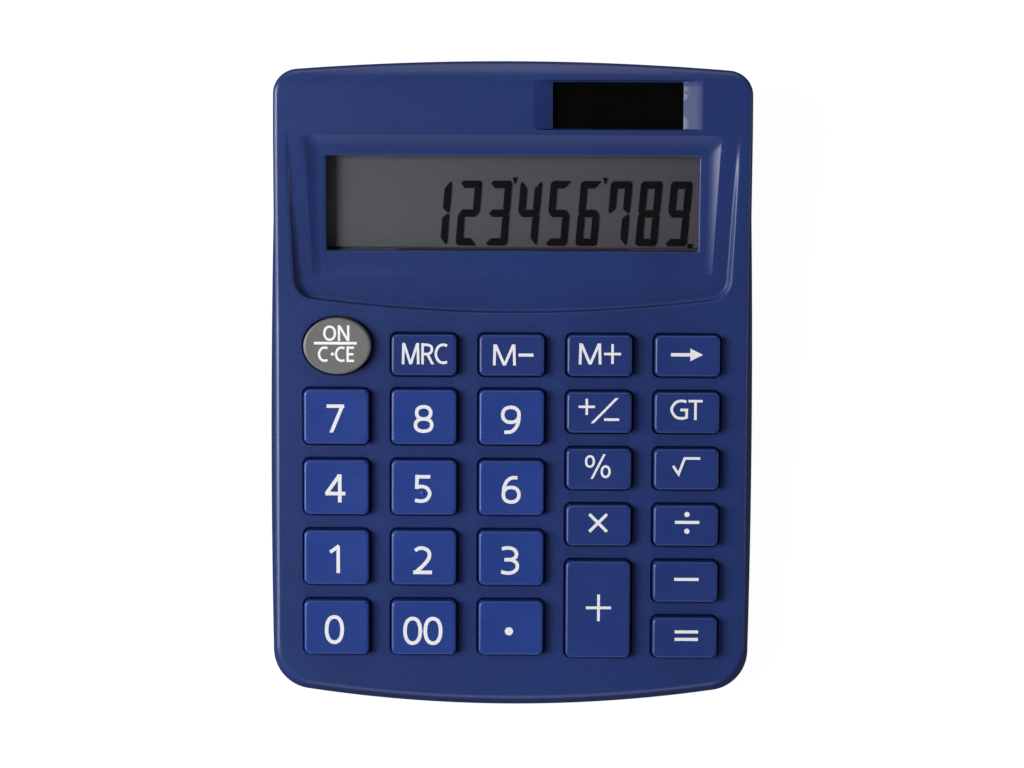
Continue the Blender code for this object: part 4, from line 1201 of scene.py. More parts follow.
    def _flanks(self, surface: Surface, top_edge: Array, edge: Array) -> Array:
        """Outer fillet, flank, parting edge and inner wall; gives the inner wall's upper row.

        Args:
            surface: Mesh to add to.
            top_edge: Indices of the top face's rim.
            edge: Points of that rim.

        Returns:
            Indices of the inner wall's upper row.
        """
        shape, parting = self.shape, self.shape.parting + self.shape.gap / 2
        rim_height = shape.crown(shape.top(0.0)[:, 1])
        start = shape.flank(0.0, rim_height - self.edge_round)
        corner = np.column_stack([shape.top(0.0), rim_height])
        t = np.linspace(0, 1, 11)[1:-1, None, None]
        weight = math.sqrt(0.5)
        fillet = ((1 - t) ** 2 * start + 2 * weight * t * (1 - t) * corner + t**2 * edge) / (
            (1 - t) ** 2 + 2 * weight * t * (1 - t) + t**2)
        shares = np.linspace(0, 1, 7)
        low = parting + 0.35
        flank = np.stack([shape.flank(0.0, low + (rim_height - self.edge_round - low) * s) for s in shares])
        inside_low = shape.flank(self.wall, parting + 1.6)
        inside_top = inside_low.copy()
        inside_top[:, 2] = np.maximum(self.ceiling(inside_low[:, 1]), parting + 1.8)
        foot = np.stack([inside_top, inside_low, shape.flank(self.wall - 0.8, parting + 1.6),
                         shape.flank(self.wall - 0.8, parting), shape.flank(0.22, parting),
                         shape.flank(0.08, parting + 0.04), shape.flank(0.015, parting + 0.16)])
        rows = surface.add(np.concatenate([foot, flank, fillet]))
        surface.bands(np.concatenate([rows, top_edge[None]]))
        return rows[0]

    def _ceiling_face(self, surface: Surface, inner: Array, openings: Sequence[Opening],
                      feet: Sequence[Array]) -> None:
        """Close the shell with its inside face, which shares the feet of all walls.

        Args:
            surface: Mesh to add to.
            inner: Indices of the inner wall's upper row.
            openings: Holes through the top face.
            feet: Indices of the foot of each hole's wall.
        """
        outer = self.shape.flank(self.wall, self.shape.parting + self.shape.gap / 2 + 1.6)[:, :2]
        loops = [outer] + [opening.foot[:, :2] for opening in openings]
        spread = grid(np.arange(-47.0, 47.1, 4.0), np.array([12.5, 14.2, 54.0, 56.2, 64.5]))
        clear = clear_of(spread, np.concatenate(loops), 1.0)
        for opening in openings:
            clear &= ~contains(opening.foot[:, :2], spread)
        spread = spread[clear]
        plan, corners = triangulated(loops, spread)
        middle = plan[corners].mean(axis=1)
        kept = contains(outer, middle)
        for opening in openings:
            kept &= ~contains(opening.foot[:, :2], middle)
        extra = surface.add(np.column_stack([spread, self.ceiling(spread[:, 1])]))
        index = np.concatenate([inner, *feet, extra])
        surface.triangles(index[corners[kept]][:, ::-1])


@dataclass
class LowerShell:
    """Base tray with rounded underside, battery bay, track for its cover, and foot recesses."""

    shape: HousingShape
    bay: "BatteryBay"
    feet: Sequence[tuple[float, float]]
    screws: Sequence[tuple[float, float]]
    underside: float = 1.0
    floor: float = 2.6
    draft: float = 1.3
    cut_low: float = -2.0
    post: tuple[float, float] = (3.2, 2.0)
    foot_recess: tuple[float, float] = (4.8, 2.0)
    head_bore: tuple[float, float] = (2.3, 4.4)
    shank_bore: tuple[float, float] = (1.4, 9.0)

    def skirt(self) -> Array:
        """Rows from the parting line down a drafted wall and round to the underside.

        Returns:
            Points of shape (rows, points in a row, 3).
        """
        top = self.shape.parting - self.shape.gap / 2
        wall = [(0.22, top), (0.08, top - 0.04), (0.015, top - 0.16), (0.04, top - 0.35),
                (0.2, 5.3), (0.33, 4.2), (0.455, 3.2)]
        t = np.linspace(0, 1, 9)[1:, None]
        ends = np.array([(0.455, 3.2), (0.66, self.underside), (self.draft, self.underside)])
        turn = (1 - t) ** 2 * ends[0] + 2 * t * (1 - t) * ends[1] + t**2 * ends[2]
        return np.stack([self.shape.level(inset, z) for inset, z in [*wall, *turn.tolist()]])

    def body(self) -> bpy.types.Mesh:
        """The base as one solid, before it is hollowed."""
        return lofted("base_body", self.skirt())

    def build(self) -> bpy.types.Object:
        """Make the tray and cut its bay, recesses and bores.

        Returns:
            The piece.
        """
        top = self.shape.parting - self.shape.gap / 2
        inside = [(2.9, self.floor), (2.9, top + 1.35), (1.5, top + 1.35), (1.5, top)]
        rows = np.concatenate([np.stack([self.shape.level(inset, z) for inset, z in inside]), self.skirt()])
        tray = lofted("lower_shell", rows)
        radius, low = self.post
        steps = [("UNION", lofted(f"post_{i}", lathe([(radius, low), (radius, self.shape.parting)], at, 48)))
                 for i, at in enumerate(self.screws)]
        steps += self.bay.tray_steps()
        radius, high = self.foot_recess
        steps += [("DIFFERENCE", lofted(f"recess_{i}",
                                        lathe([(radius, self.cut_low), (radius, high)], at, 64)))
                  for i, at in enumerate(self.feet)]
        (wide, shelf), (narrow, end) = self.head_bore, self.shank_bore
        bore = [(wide, self.cut_low), (wide, shelf), (narrow, shelf), (narrow, end)]
        steps += [("DIFFERENCE", lofted(f"bore_{i}", lathe(bore, at, 48))) for i,
                  at in enumerate(self.screws)]
        return install(carved(tray, steps), HOUSING, Palette.base, ["lower_case"])


@dataclass(frozen=True)
class BatteryBay:
    """Well for the button cell and the sliding cover that closes it."""

    x: float = -18.0
    y: float = 52.0
    half_width: float = 11.0
    tongue: float = 1.2
    front: float = 38.0
    low: float = 1.0
    outer_thickness: float = 0.8
    inner_thickness: float = 1.0
    well: tuple[float, float, float] = (13.0, 15.0, 10.0)
    well_wall: float = 1.3
    gap: float = 0.3
    grooves: int = 7

    def prism(self, name: str, front: float, grow: float) -> bpy.types.Mesh:
        """The cover's T-shaped section carried from a front plane out past the rear wall.

        Args:
            name: Name of the mesh.
            front: Where it starts along Y.
            grow: Clearance added all round.

        Returns:
            The mesh.
        """
        step = self.low + self.outer_thickness - grow
        top = self.low + self.outer_thickness + self.inner_thickness + grow
        half, wide = self.half_width + grow, self.half_width + self.tongue + grow
        right = np.array([(half, -2.0), (half, step), (wide, step), (wide, top)])
        section = np.concatenate([right, right[::-1] * (-1.0, 1.0)])
        rows = [np.column_stack([self.x + section[:, 0], np.full(len(section), y), section[:, 1]])
                for y in (front, 85.0)]
        return lofted(name, np.stack(rows))

    def block(self, name: str, width: float, depth: float, low: float, high: float, y: float,
              radius: float) -> bpy.types.Mesh:
        """Upright block with round corners, centred on the bay's line."""
        outline = rectangle(width, depth, radius, (self.x, y), 6, 2)
        return lofted(name, np.stack([levelled(outline, z) for z in (low, high)]))

    def tray_steps(self) -> list[tuple[str, bpy.types.Mesh]]:
        """What the bay adds to the tray and cuts from it.

        Returns:
            Operations and tools, in order.
        """
        width, depth, ceiling = self.well
        outer = ceiling + self.well_wall
        pad_rear, pad_front = 68.5, self.front - 2.0
        steps = [
            ("UNION", self.block("pad", 28.4, pad_rear - pad_front, 1.8, 4.4, (pad_rear + pad_front) / 2,
                                 0.5)),
            ("UNION", self.block("well", width + 2 * self.well_wall, depth + 2 * self.well_wall, 1.8, outer,
                                 self.y, 0.8)),
            ("DIFFERENCE", self.prism("track", self.front - self.gap, self.gap)),
            ("DIFFERENCE", self.block("well_room", width, depth, -2.0, ceiling, self.y, 0.5)),
        ]
        for i, offset in enumerate((-depth / 2 + 0.5, depth / 2 - 0.5)):
            steps.append(("DIFFERENCE", self.block(f"slot_{i}", 4.6, 1.0, ceiling - 1.0, outer + 1.0,
                                                   self.y + offset, 0.1)))
        return steps

    def build(self, base: bpy.types.Mesh) -> bpy.types.Object:
        """Make the cover out of the base's own shape, with thumb grooves in its outer face.

        Args:
            base: The base as one solid, used up here.

        Returns:
            The piece.
        """
        steps = [("INTERSECT", base)]
        angle = 2 * math.pi * np.arange(20) / 20
        for i in range(self.grooves):
            y = 55.0 + 1.9 * i
            width = 6.6 - 0.45 * abs(i - self.grooves // 2)
            ring = np.stack([np.zeros(20), y + 0.62 * np.cos(angle), 0.72 + 0.62 * np.sin(angle)], axis=1)
            ends = [ring + (self.x - width, 0.0, 0.0), ring + (self.x + width, 0.0, 0.0)]
            steps.append(("DIFFERENCE", lofted(f"groove_{i}", np.stack(ends))))
        cover = carved(self.prism("battery_door", self.front, 0.0), steps)
        return install(cover, "battery_cover", Palette.base, ["battery_cover"],
                       Shading(30.0, 0.12, 2))


@dataclass(frozen=True)
class Foot:
    """Turned rubber foot, slightly hollow underneath."""

    number: int
    at: tuple[float, float]
    radius: float = 4.5
    height: float = 1.7

    def build(self) -> bpy.types.Object:
        """Make the foot as a turned profile."""
        r = self.radius
        profile = [(r - 1.5, 0.10), (r - 1.1, 0.07), (r - 0.8, 0.01), (r - 0.6, 0.0), (r - 0.35, 0.04),
                   (r - 0.14, 0.16), (r - 0.03, 0.36), (r, 0.6), (r, self.height)]
        mesh = lofted(f"rubber_foot_{self.number}", lathe(profile, self.at, 72))
        return install(mesh, HOUSING, Palette.foot, [f"foot_{self.number}"])


@dataclass(frozen=True)
class CaseScrew:
    """Pan-headed self-tapping screw, its crossed head down in the counterbore."""

    number: int
    at: tuple[float, float]
    tip: float
    head_low: float = 2.6
    head_radius: float = 2.0
    head_height: float = 1.5
    shank: float = 1.1

    def build(self) -> bpy.types.Object:
        """Make the screw as a turned profile and cut the cross into its head.

        Returns:
            The piece.
        """
        low, r = self.head_low, self.head_radius
        profile = [(r * 0.55, low), (r * 0.78, low + 0.05), (r * 0.93, low + 0.3), (r, low + 0.7),
                   (r, low + self.head_height), (self.shank, low + self.head_height),
                   (self.shank, self.tip - 1.2), (self.shank * 0.35, self.tip)]
        mesh = lofted(f"self_tapping_screw_{self.number}", lathe(profile, self.at, 48))
        steps = []
        for i, (width, depth) in enumerate(((2.3, 0.55), (0.55, 2.3))):
            outline = rectangle(width, depth, 0.1, self.at, 3, 1)
            rows = [levelled(outline, z) for z in (low - 1.0, low + 1.0)]
            steps.append(("DIFFERENCE", lofted(f"cross_{i}", np.stack(rows))))
        return install(carved(mesh, steps), HOUSING, Palette.steel, [f"case_screw_{self.number}"])


# ---------------------------------------------------------------- legends


@dataclass(frozen=True)
class Stroke:
    """A line of constant width in a unit box, drawn straight or as a smooth curve."""

    points: tuple[tuple[float, float], ...]
    smooth: bool = False
    closed: bool = False
    level_ends: bool = False

    def centre_line(self) -> Array:
        """The stroke's middle: Catmull-Rom spans through its points if it is smooth.

        Returns:
            Points of shape (n, 2) in the unit box.
        """
        knots = np.array(self.points, float)
        if not self.smooth:
            return knots
        if self.closed:
            ring = np.concatenate([knots[-1:], knots, knots[:2]])
        else:
            ring = np.concatenate([2 * knots[:1] - knots[1:2], knots, 2 * knots[-1:] - knots[-2:-1]])
        a, b, c, d = (ring[i : len(ring) - 3 + i, None] for i in range(4))
        t = np.linspace(0, 1, 9)[:-1, None]
        line = 0.5 * (2 * b + (c - a) * t + (2 * a - 5 * b + 4 * c - d) * t**2 + (3 * b - a - 3 * c + d) * t**3)
        line = line.reshape(-1, 2)
        return line if self.closed else np.concatenate([line, knots[-1:]])

    def outlines(self, origin: Array, size: Array, width: float) -> list[Array]:
        """Outlines of the stroke at full size: one for an open line, two for a ring.

        Args:
            origin: Lower left corner of the glyph's box.
            size: Width and height of that box, which the stroke's full width stays inside.
            width: Width of the stroke.

        Returns:
            Closed outlines.
        """
        line = origin + width / 2 + self.centre_line() * (size - width)
        if self.closed:
            if np.sum(line[:, 0] * np.roll(line[:, 1], -1) - np.roll(line[:, 0], -1) * line[:, 1]) < 0:
                line = line[::-1]
            return [grown(line, width / 2), grown(line, -width / 2)]
        ahead = np.diff(line, axis=0)
        ahead /= np.linalg.norm(ahead, axis=1, keepdims=True)
        before = np.concatenate([ahead[:1], ahead])
        after = np.concatenate([ahead, ahead[-1:]])
        both = (before + after) / 2
        side = np.stack([-both[:, 1], both[:, 0]], axis=1) / (both**2).sum(axis=1, keepdims=True)
        if self.level_ends:
            for i in (0, -1):
                side[i] = (-math.copysign(1.0, both[i, 1]) / max(abs(both[i, 1]), 0.3), 0.0)
        return [np.concatenate([line + side * width / 2, (line - side * width / 2)[::-1]])]


def ring(cx: float, cy: float, rx: float, ry: float, fullness: float = 0.9) -> Stroke:
    """Closed oval stroke in the unit box."""
    points = ellipse(2 * rx, 2 * ry, (cx, cy), 16, fullness)
    return Stroke(tuple(map(tuple, points.tolist())), smooth=True, closed=True)


def line(*points: tuple[float, float]) -> Stroke:
    """Straight or angled stroke with square ends."""
    return Stroke(points)


def slant(*points: tuple[float, float]) -> Stroke:
    """Slanted straight stroke whose ends are cut level."""
    return Stroke(points, level_ends=True)


def curve(*points: tuple[float, float]) -> Stroke:
    """Smooth open stroke."""
    return Stroke(points, smooth=True)


SIX = (ring(0.5, 0.30, 0.5, 0.30), curve((0.0, 0.34), (0.05, 0.62), (0.24, 0.86), (0.52, 0.985), (0.90, 1.0)))
GLYPHS: dict[str, tuple[Stroke, ...]] = {
    "0": (ring(0.5, 0.5, 0.5, 0.5),),
    "1": (line((1.0, -0.15), (1.0, 1.0)), line((0.0, 0.76), (1.12, 1.04))),
    "2": (curve((0.02, 0.90), (0.26, 0.99), (0.60, 0.99), (0.88, 0.87), (0.93, 0.67), (0.80, 0.48),
                (0.50, 0.26),
                (0.06, 0.0)), line((-0.1, 0.0), (1.1, 0.0))),
    "3": (curve((0.05, 0.96), (0.34, 1.0), (0.70, 0.97), (0.93, 0.83), (0.90, 0.64), (0.62, 0.54),
                (0.20, 0.53)),
          curve((0.20, 0.53), (0.66, 0.52), (0.97, 0.38), (0.97, 0.17), (0.72, 0.03), (0.36, 0.0),
                (0.0, 0.05))),
    "4": (slant((0.70, 1.0), (0.02, 0.28)), line((-0.06, 0.26), (1.08, 0.26)),
          line((0.76, -0.12), (0.76, 1.08)),
          line((0.60, 1.0), (0.80, 1.0))),
    "5": (line((0.10, 1.0), (1.02, 1.0)), line((0.14, 1.08), (0.12, 0.50)),
          curve((0.12, 0.57), (0.42, 0.60), (0.78, 0.54), (0.98, 0.32), (0.82, 0.09), (0.46, 0.0),
                (0.0, 0.03))),
    "6": SIX,
    "7": (line((-0.12, 1.0), (1.1, 1.0)), slant((0.96, 1.0), (0.20, -0.14))),
    "8": (ring(0.5, 0.75, 0.43, 0.25), ring(0.5, 0.25, 0.5, 0.25)),
    "9": tuple(Stroke(tuple((1 - x, 1 - y) for x, y in s.points), s.smooth, s.closed) for s in SIX),
    "M": (line((0.0, -0.1), (0.03, 1.1)), line((1.0, -0.1), (0.97, 1.1)), slant((0.05, 1.1), (0.5, -0.1)),
          slant((0.95, 1.1), (0.5, -0.1))),
    "R": (line((0.0, -0.1), (0.0, 1.1)), slant((0.48, 0.48), (1.0, -0.1)),
          curve((0.0, 1.0), (0.46, 1.0), (0.82, 0.92), (0.92, 0.74), (0.80, 0.56), (0.46, 0.48),
                (0.0, 0.48))),
    "C": (curve((1.05, 0.95), (0.68, 1.0), (0.26, 0.88), (0.02, 0.5), (0.26, 0.12), (0.68, 0.0),
                (1.05, 0.05)),),
    "G": (curve((0.98, 0.95), (0.66, 1.0), (0.26, 0.90), (0.0, 0.5), (0.26, 0.10), (0.64, 0.0), (1.0, 0.05)),
          line((1.0, 0.0), (1.0, 0.56)), line((0.58, 0.48), (1.1, 0.48))),
    "T": (line((-0.1, 1.0), (1.1, 1.0)), line((0.5, -0.1), (0.5, 1.0))),
    "N": (line((0.0, -0.1), (0.0, 1.1)), line((1.0, -0.1), (1.0, 1.1)), slant((0.0, 1.1), (1.0, -0.1))),
    "E": (line((0.0, -0.1), (0.0, 1.1)), line((0.0, 1.0), (1.1, 1.0)), line((0.0, 0.5), (1.0, 0.5)),
          line((0.0, 0.0), (1.1, 0.0))),
    "O": (ring(0.5, 0.5, 0.5, 0.5, 0.95),),
    "+": (line((0.5, -0.12), (0.5, 1.12)), line((-0.12, 0.5), (1.12, 0.5))),
    "-": (line((-0.1, 0.5), (1.1, 0.5)),),
    "x": (line((0.0, 0.0), (1.0, 1.0)), line((0.0, 1.0), (1.0, 0.0))),
    "/": (slant((0.0, -0.1), (1.0, 1.1)),),
    "v": (line((-0.02, 0.58), (0.20, 0.12), (0.44, 1.0), (1.06, 1.0)),),
}


@dataclass(frozen=True)
class Mark:
    """One printed sign on a key: a glyph, a dot or an arrow head.

    Attributes:
        sign: Key into GLYPHS, or "dot" or "head".
        at: Centre on the key.
        size: Width and height over the ink.
        weight: Width of the strokes.
    """

    sign: str
    at: tuple[float, float]
    size: tuple[float, float]
    weight: float = 0.80

    def shapes(self) -> list[list[Array]]:
        """Flat shapes of the sign on the key's own plane.

        Returns:
            Shapes, each a list of outlines.
        """
        at, size = np.array(self.at), np.array(self.size)
        if self.sign == "dot":
            return [[ellipse(*self.size, self.at, 40)]]
        if self.sign == "head":
            return [[at + size * np.array([(-0.5, -0.5), (0.5, 0.0), (-0.5, 0.5)])]]
        return [stroke.outlines(at - size / 2, size, self.weight) for stroke in GLYPHS[self.sign]]


# ---------------------------------------------------------------- keys


class KeyForm(Enum):
    """Outline of a key seen from above."""

    BLOCK = "rounded rectangle"
    OVAL = "ellipse"


@dataclass
class KeyCap:
    """A key: flange under the deck, drafted skirt, rounded top edge and shallow finger dish."""

    name: str
    at: tuple[float, float]
    size: tuple[float, float]
    finish: MouldedPlastic
    marks: tuple[Mark, ...]
    deck: Plane
    form: KeyForm = KeyForm.BLOCK
    ink: PrintedInk = Palette.ink
    locating_dot: tuple[float, float] | None = None
    corner: float = 1.3
    rise: float = 2.2
    top_round: float = 0.5
    draft: float = 0.1
    dish: float = 0.13
    flange_top: float = -2.3
    flange_low: float = -3.2
    flange_reach: float = 0.9
    ink_thickness: float = 0.02
    ink_sunk: float = 0.04
    dot_width: float = 0.9
    dot_rise: float = 0.2
    dot_sunk: float = 0.03

    def outline(self, grow: float) -> Array:
        """The key's outline on the deck, grown by a distance."""
        width, depth = (side + 2 * grow for side in self.size)
        if self.form is KeyForm.OVAL:
            return ellipse(width, depth, self.at, 96)
        return rectangle(width, depth, self.corner + grow, self.at, 10, 6)

    def top_height(self, plan: Array) -> Array:
        """Height of the finger dish: a product of two parabolas that vanishes at the edges."""
        inset = self.draft + self.top_round
        half = np.array(self.size) / 2 - inset
        away = np.clip(np.abs(plan - self.at) / half, 0.0, 1.0)
        return self.rise - self.dish * (1 - away[..., 0] ** 2) * (1 - away[..., 1] ** 2)

    def build(self) -> bpy.types.Object:
        """Make the cap, its printed legend and its locating dot.

        Returns:
            The cap.
        """
        slope = np.linspace(0, math.pi / 2, 8)
        levels = [(self.flange_reach, self.flange_low), (self.flange_reach, self.flange_top),
                  (0.0, self.flange_top),
                  (0.0, -1.2), (-self.draft * 0.5, 0.3)]
        levels += [(-self.draft - self.top_round * (1 - math.cos(a)),
                    self.rise - self.top_round * (1 - math.sin(a)))
                   for a in slope[:-1]]
        rows = [self.deck.raised(self.outline(grow), height) for grow, height in levels]
        edge = self.outline(-self.draft - self.top_round)
        centre = np.array(self.at)
        for share in (1.0, 0.93, 0.82, 0.68, 0.52, 0.35, 0.18, 0.06):
            plan = centre + (edge - centre) * share
            rows.append(self.deck.raised(plan, self.top_height(plan)))
        cap = install(lofted("cap_" + self.name, np.stack(rows)), self.name, self.finish, [self.name])
        shapes = [shape for mark in self.marks for shape in mark.shapes()]
        shapes = [[loop + centre for loop in shape] for shape in shapes]
        legend = slab("legend_" + self.name, shapes,
                      lambda p: self.deck.raised(p, self.top_height(p) - self.ink_sunk),
                      lambda p: self.deck.raised(p, self.top_height(p) + self.ink_thickness))
        install(legend, self.name, self.ink, shading=Shading(30.0))
        if self.locating_dot is not None:
            self._build_dot(centre + self.locating_dot)
        return cap

    def _build_dot(self, at: Array) -> None:
        """Raised dot that fingers find: a low dome on the key's top."""
        angle = np.linspace(0, math.pi / 2, 9)[:-1]
        base = self.top_height(at) - self.dot_sunk
        rows = [self.deck.raised(ellipse(*(self.dot_width * math.cos(a),) * 2, at, 32),
                                 base + self.dot_rise * math.sin(a)) for a in angle]
        install(lofted("locating_dot", np.stack(rows)), self.name, self.finish)


@dataclass
class Keypad:
    """All keys, laid out in five columns on the deck."""

    deck: Plane
    pitch: float = 19.05
    digit_pitch: float = 15.45
    digit_low: float = -53.1
    function_pitch: float = 12.38
    function_low: float = -55.1
    digit_size: tuple[float, float] = (14.3, 12.1)
    function_size: tuple[float, float] = (14.3, 9.1)
    keys: list[KeyCap] = field(default_factory=list)

    def __post_init__(self) -> None:
        """Lay out every key."""
        self._add_digits()
        self._add_functions()
        self._add_on_key()

    def _column(self, number: int) -> float:
        """Centre of a column, counted from 0 at the left."""
        return self.pitch * (number - 2)

    def _add_digits(self) -> None:
        """Digit keys, with the double nought and the point in the lowest row."""
        marks = {
            "7": Mark("7", (-0.15, -0.17), (3.9, 5.8), 0.76),
            "8": Mark("8", (-0.07, -0.36), (4.3, 6.1), 0.76),
            "9": Mark("9", (-0.18, -0.46), (4.3, 6.2), 0.76),
            "4": Mark("4", (-0.26, -0.10), (4.6, 5.9), 0.78),
            "5": Mark("5", (-0.30, -0.24), (4.03, 6.1), 0.76),
            "6": Mark("6", (-0.04, -0.35), (4.15, 6.1), 0.76),
            "1": Mark("1", (-0.50, -0.10), (2.5, 5.8), 0.76), "2": Mark("2", (-0.26, -0.49), (4.23, 6.12)),
            "3": Mark("3", (-0.40, -0.46), (4.3, 6.3), 0.76), "0": Mark("0", (-0.50, -0.45), (4.2, 6.4)),
        }
        for digit in range(10):
            column, row = ((digit - 1) % 3, (digit - 1) // 3 + 1) if digit else (0, 0)
            self._add_digit(f"key_{digit}", column, row, (marks[str(digit)],),
                            (-0.27, -1.15) if digit == 5 else None)
        noughts = tuple(Mark("0", (x, -0.66), (4.15, 6.25)) for x in (-2.42, 2.02))
        self._add_digit("key_00", 1, 0, noughts)
        self._add_digit("key_point", 2, 0, (Mark("dot", (-0.40, -0.67), (1.8, 1.8)),))

    def _add_digit(self, name: str, column: int, row: int, marks: tuple[Mark, ...],
                   dot: tuple[float, float] | None = None) -> None:
        """One key of the digit block."""
        at = (self._column(column), self.digit_low + self.digit_pitch * row)
        self.keys.append(KeyCap(name, at, self.digit_size, Palette.digit_key, marks, self.deck,
                                locating_dot=dot))

    def _add_functions(self) -> None:
        """Memory keys, operators and the tall plus key."""
        plain, thin = (5.12, 0.66), 0.54
        layout = {
            ("memory_recall", 1, 5): (Mark("M", (-2.90, 0.32), (3.85, 4.4), 0.56),
                                      Mark("R", (0.77, 0.32), (2.75, 4.4), 0.56),
                                      Mark("C", (3.68, 0.32), (2.95, 4.5), 0.56)),
            ("memory_minus", 2, 5): (Mark("M", (-1.63, 0.12), (5.0, 4.4), 0.6),
                                     Mark("-", (3.04, 0.12), (3.36, 0.66), 0.66)),
            ("memory_plus", 3, 5): (Mark("M", (-2.10, 0.42), (4.95, 4.4), 0.6),
                                    Mark("+", (2.75, 0.42), (3.5, 4.0), thin)),
            ("backspace", 4, 5): (Mark("-", (-1.50, 0.32), (4.3, 0.74), 0.74),
                                  Mark("head", (1.94, 0.32), (2.75, 2.75))),
            ("sign", 3, 4): (Mark("+", (-2.75, 1.28), (3.4, 3.4), thin),
                             Mark("/", (1.14, 0.47), (5.9, 5.14), 0.52),
                             Mark("-", (2.66, -1.5), (3.3, 0.56), 0.56)),
            ("grand_total", 4, 4): (Mark("G", (-1.75, 0.75), (3.85, 4.4), 0.58),
                                    Mark("T", (1.80, 0.75), (3.1, 4.3), 0.56)),
            ("percent", 3, 3): (Mark("O", (-1.98, 1.72), (2.2, 2.8), 0.5),
                                Mark("O", (1.45, -0.53), (2.2, 2.8), 0.5),
                                Mark("/", (-0.2, 0.6), (3.2, 5.0), 0.48)),
            ("root", 4, 3): (Mark("v", (-0.1, 0.5), (6.0, 4.5), 0.56),),
            ("multiply", 3, 2): (Mark("x", (-0.10, 0.6), (4.5, 4.5), 0.66),),
            ("divide", 4, 2): (Mark("-", (0.25, 0.8), plain, 0.68), Mark("dot", (0.20, 2.55), (1.16, 1.16)),
                               Mark("dot", (0.20, -1.15), (1.16, 1.16))),
            ("minus", 4, 1): (Mark("-", (0.23, 0.6), plain, 0.68),),
            ("equals", 4, 0): (Mark("-", (0.34, 1.36), (4.95, 0.7), 0.68),
                               Mark("-", (0.34, -0.3), (4.95, 0.7), 0.68)),
        }
        for (name, column, row), marks in layout.items():
            at = (self._column(column), self.function_low + self.function_pitch * row)
            self.keys.append(KeyCap("key_" + name, at, self.function_size, Palette.function_key, marks,
                                    self.deck))
        tall = (self.function_size[0], self.function_size[1] + self.function_pitch)
        at = (self._column(3), self.function_low + self.function_pitch / 2)
        self.keys.append(KeyCap("key_plus", at, tall, Palette.function_key,
                                (Mark("+", (0.12, 0.42), (5.05, 5.35), 0.6),), self.deck))

    def _add_on_key(self) -> None:
        """Grey oval key at the head of the digit block."""
        weight = 0.50
        marks = (Mark("O", (-1.60, 2.84), (2.8, 3.34), weight), Mark("N", (1.43, 2.84), (2.5, 3.34), weight),
                 Mark("-", (-0.35, 0.67), (8.3, 0.58), 0.58), Mark("C", (-3.06, -1.72), (2.3, 3.36), weight),
                 Mark("dot", (-1.02, -1.7), (0.72, 0.72)), Mark("C", (0.62, -1.72), (2.3, 3.36), weight),
                 Mark("E", (2.92, -1.72), (1.76, 3.36), weight))
        self.keys.append(KeyCap("key_on_clear", (-37.9, 8.65), (14.9, 12.4), Palette.clear_key, marks,
                                self.deck,
                                KeyForm.OVAL, Palette.ink_on_grey, dish=0.10))

    def build(self) -> None:
        """Make every key, and check its place against its CAD node."""
        for key in self.keys:
            low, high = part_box(key.name)
            assert abs((low.x + high.x) / 2 / MM - key.at[0]) < 0.05, f"{key.name} is off its column"
            key.build()


# ---------------------------------------------------------------- display and solar panel


@dataclass
class SegmentReadout:
    """Seven-segment digits on the liquid crystal panel, leaning slightly to the right."""

    glass: Plane
    digits: str = "123456789"
    right_centre: float = 36.15
    centre_y: float = -2.56
    pitch: float = 6.53
    width: float = 4.62
    height: float = 14.2
    lean: float = 0.082
    upright: float = 1.46
    level: float = 1.62
    panel_top: float = -3.9
    lift: float = 0.28

    LIT = {"1": "bc", "2": "abged", "3": "abgcd", "4": "fgbc", "5": "afgcd",
           "6": "afgedc", "7": "fabc", "8": "abcdefg", "9": "abcdfg"}

    def segment(self, letter: str) -> Array:
        """Outline of one segment about the digit's centre: mitred ends with a small gap.

        Args:
            letter: The segment, a to g.

        Returns:
            Closed outline.
        """
        x, y = self.width / 2, self.height / 2
        if letter in "ad":
            shape = np.array([(-x + 0.10, y - 0.55), (-x + 0.60, y), (x - 0.50, y), (x - 0.34, y - 0.14),
                              (x - self.upright - 0.06, y - self.level), (-x + 1.05, y - self.level)])
            return shape if letter == "a" else shape * (1.0, -1.0)
        if letter == "g":
            half = self.level / 2
            return np.array([(-x + 0.22, 0.0), (-x + 0.95, half), (x - 0.95, half), (x - 0.22, 0.0),
                             (x - 0.95, -half), (-x + 0.95, -half)])
        shape = np.array([(x - 0.24, y - 0.22), (x, y - 0.75), (x, 0.62), (x - 0.22, 0.13), (x - 0.42, 0.13),
                          (x - self.upright, self.level / 2 + 0.28),
                          (x - self.upright, y - self.level - 0.10)])
        flip = {"b": (1.0, 1.0), "c": (1.0, -1.0), "f": (-1.0, 1.0), "e": (-1.0, -1.0)}[letter]
        return shape * flip

    def shapes(self) -> list[list[Array]]:
        """Every lit segment, the two thousands ticks and the point, on the glass plane.

        Returns:
            Shapes, each a list with one outline.
        """
        made = []
        last = len(self.digits) - 1
        for i, digit in enumerate(self.digits):
            centre = self.right_centre - self.pitch * (last - i)
            made += [self.segment(letter) + (centre, 0.0) for letter in self.LIT[digit]]
        top = self.height / 2
        for places in (5.5, 2.5):
            x = self.right_centre - self.pitch * places - self.lean * top + 0.25
            made.append(np.array([(x - 0.55, top + 0.70), (x + 0.5, top + 0.70),
                                  (x + 0.05, top - 0.75)])[::-1])
        made.append(rectangle(1.0, 1.0, 0.2, (self.right_centre + 3.1, -top + 0.05), 3, 1))
        slope = np.array([[1.0, 0.0], [self.lean, 1.0]])
        return [[shape @ slope + (0.0, self.centre_y)] for shape in made]

    def build(self) -> bpy.types.Object:
        """Make the segments as thin plates that stand just above the reflector."""
        mesh = slab("readout_segments", self.shapes(),
                    lambda p: self.glass.raised(p, self.panel_top + 0.02),
                    lambda p: self.glass.raised(p, self.panel_top + self.lift))
        return install(mesh, HOUSING, Palette.segments, shading=Shading(30.0))


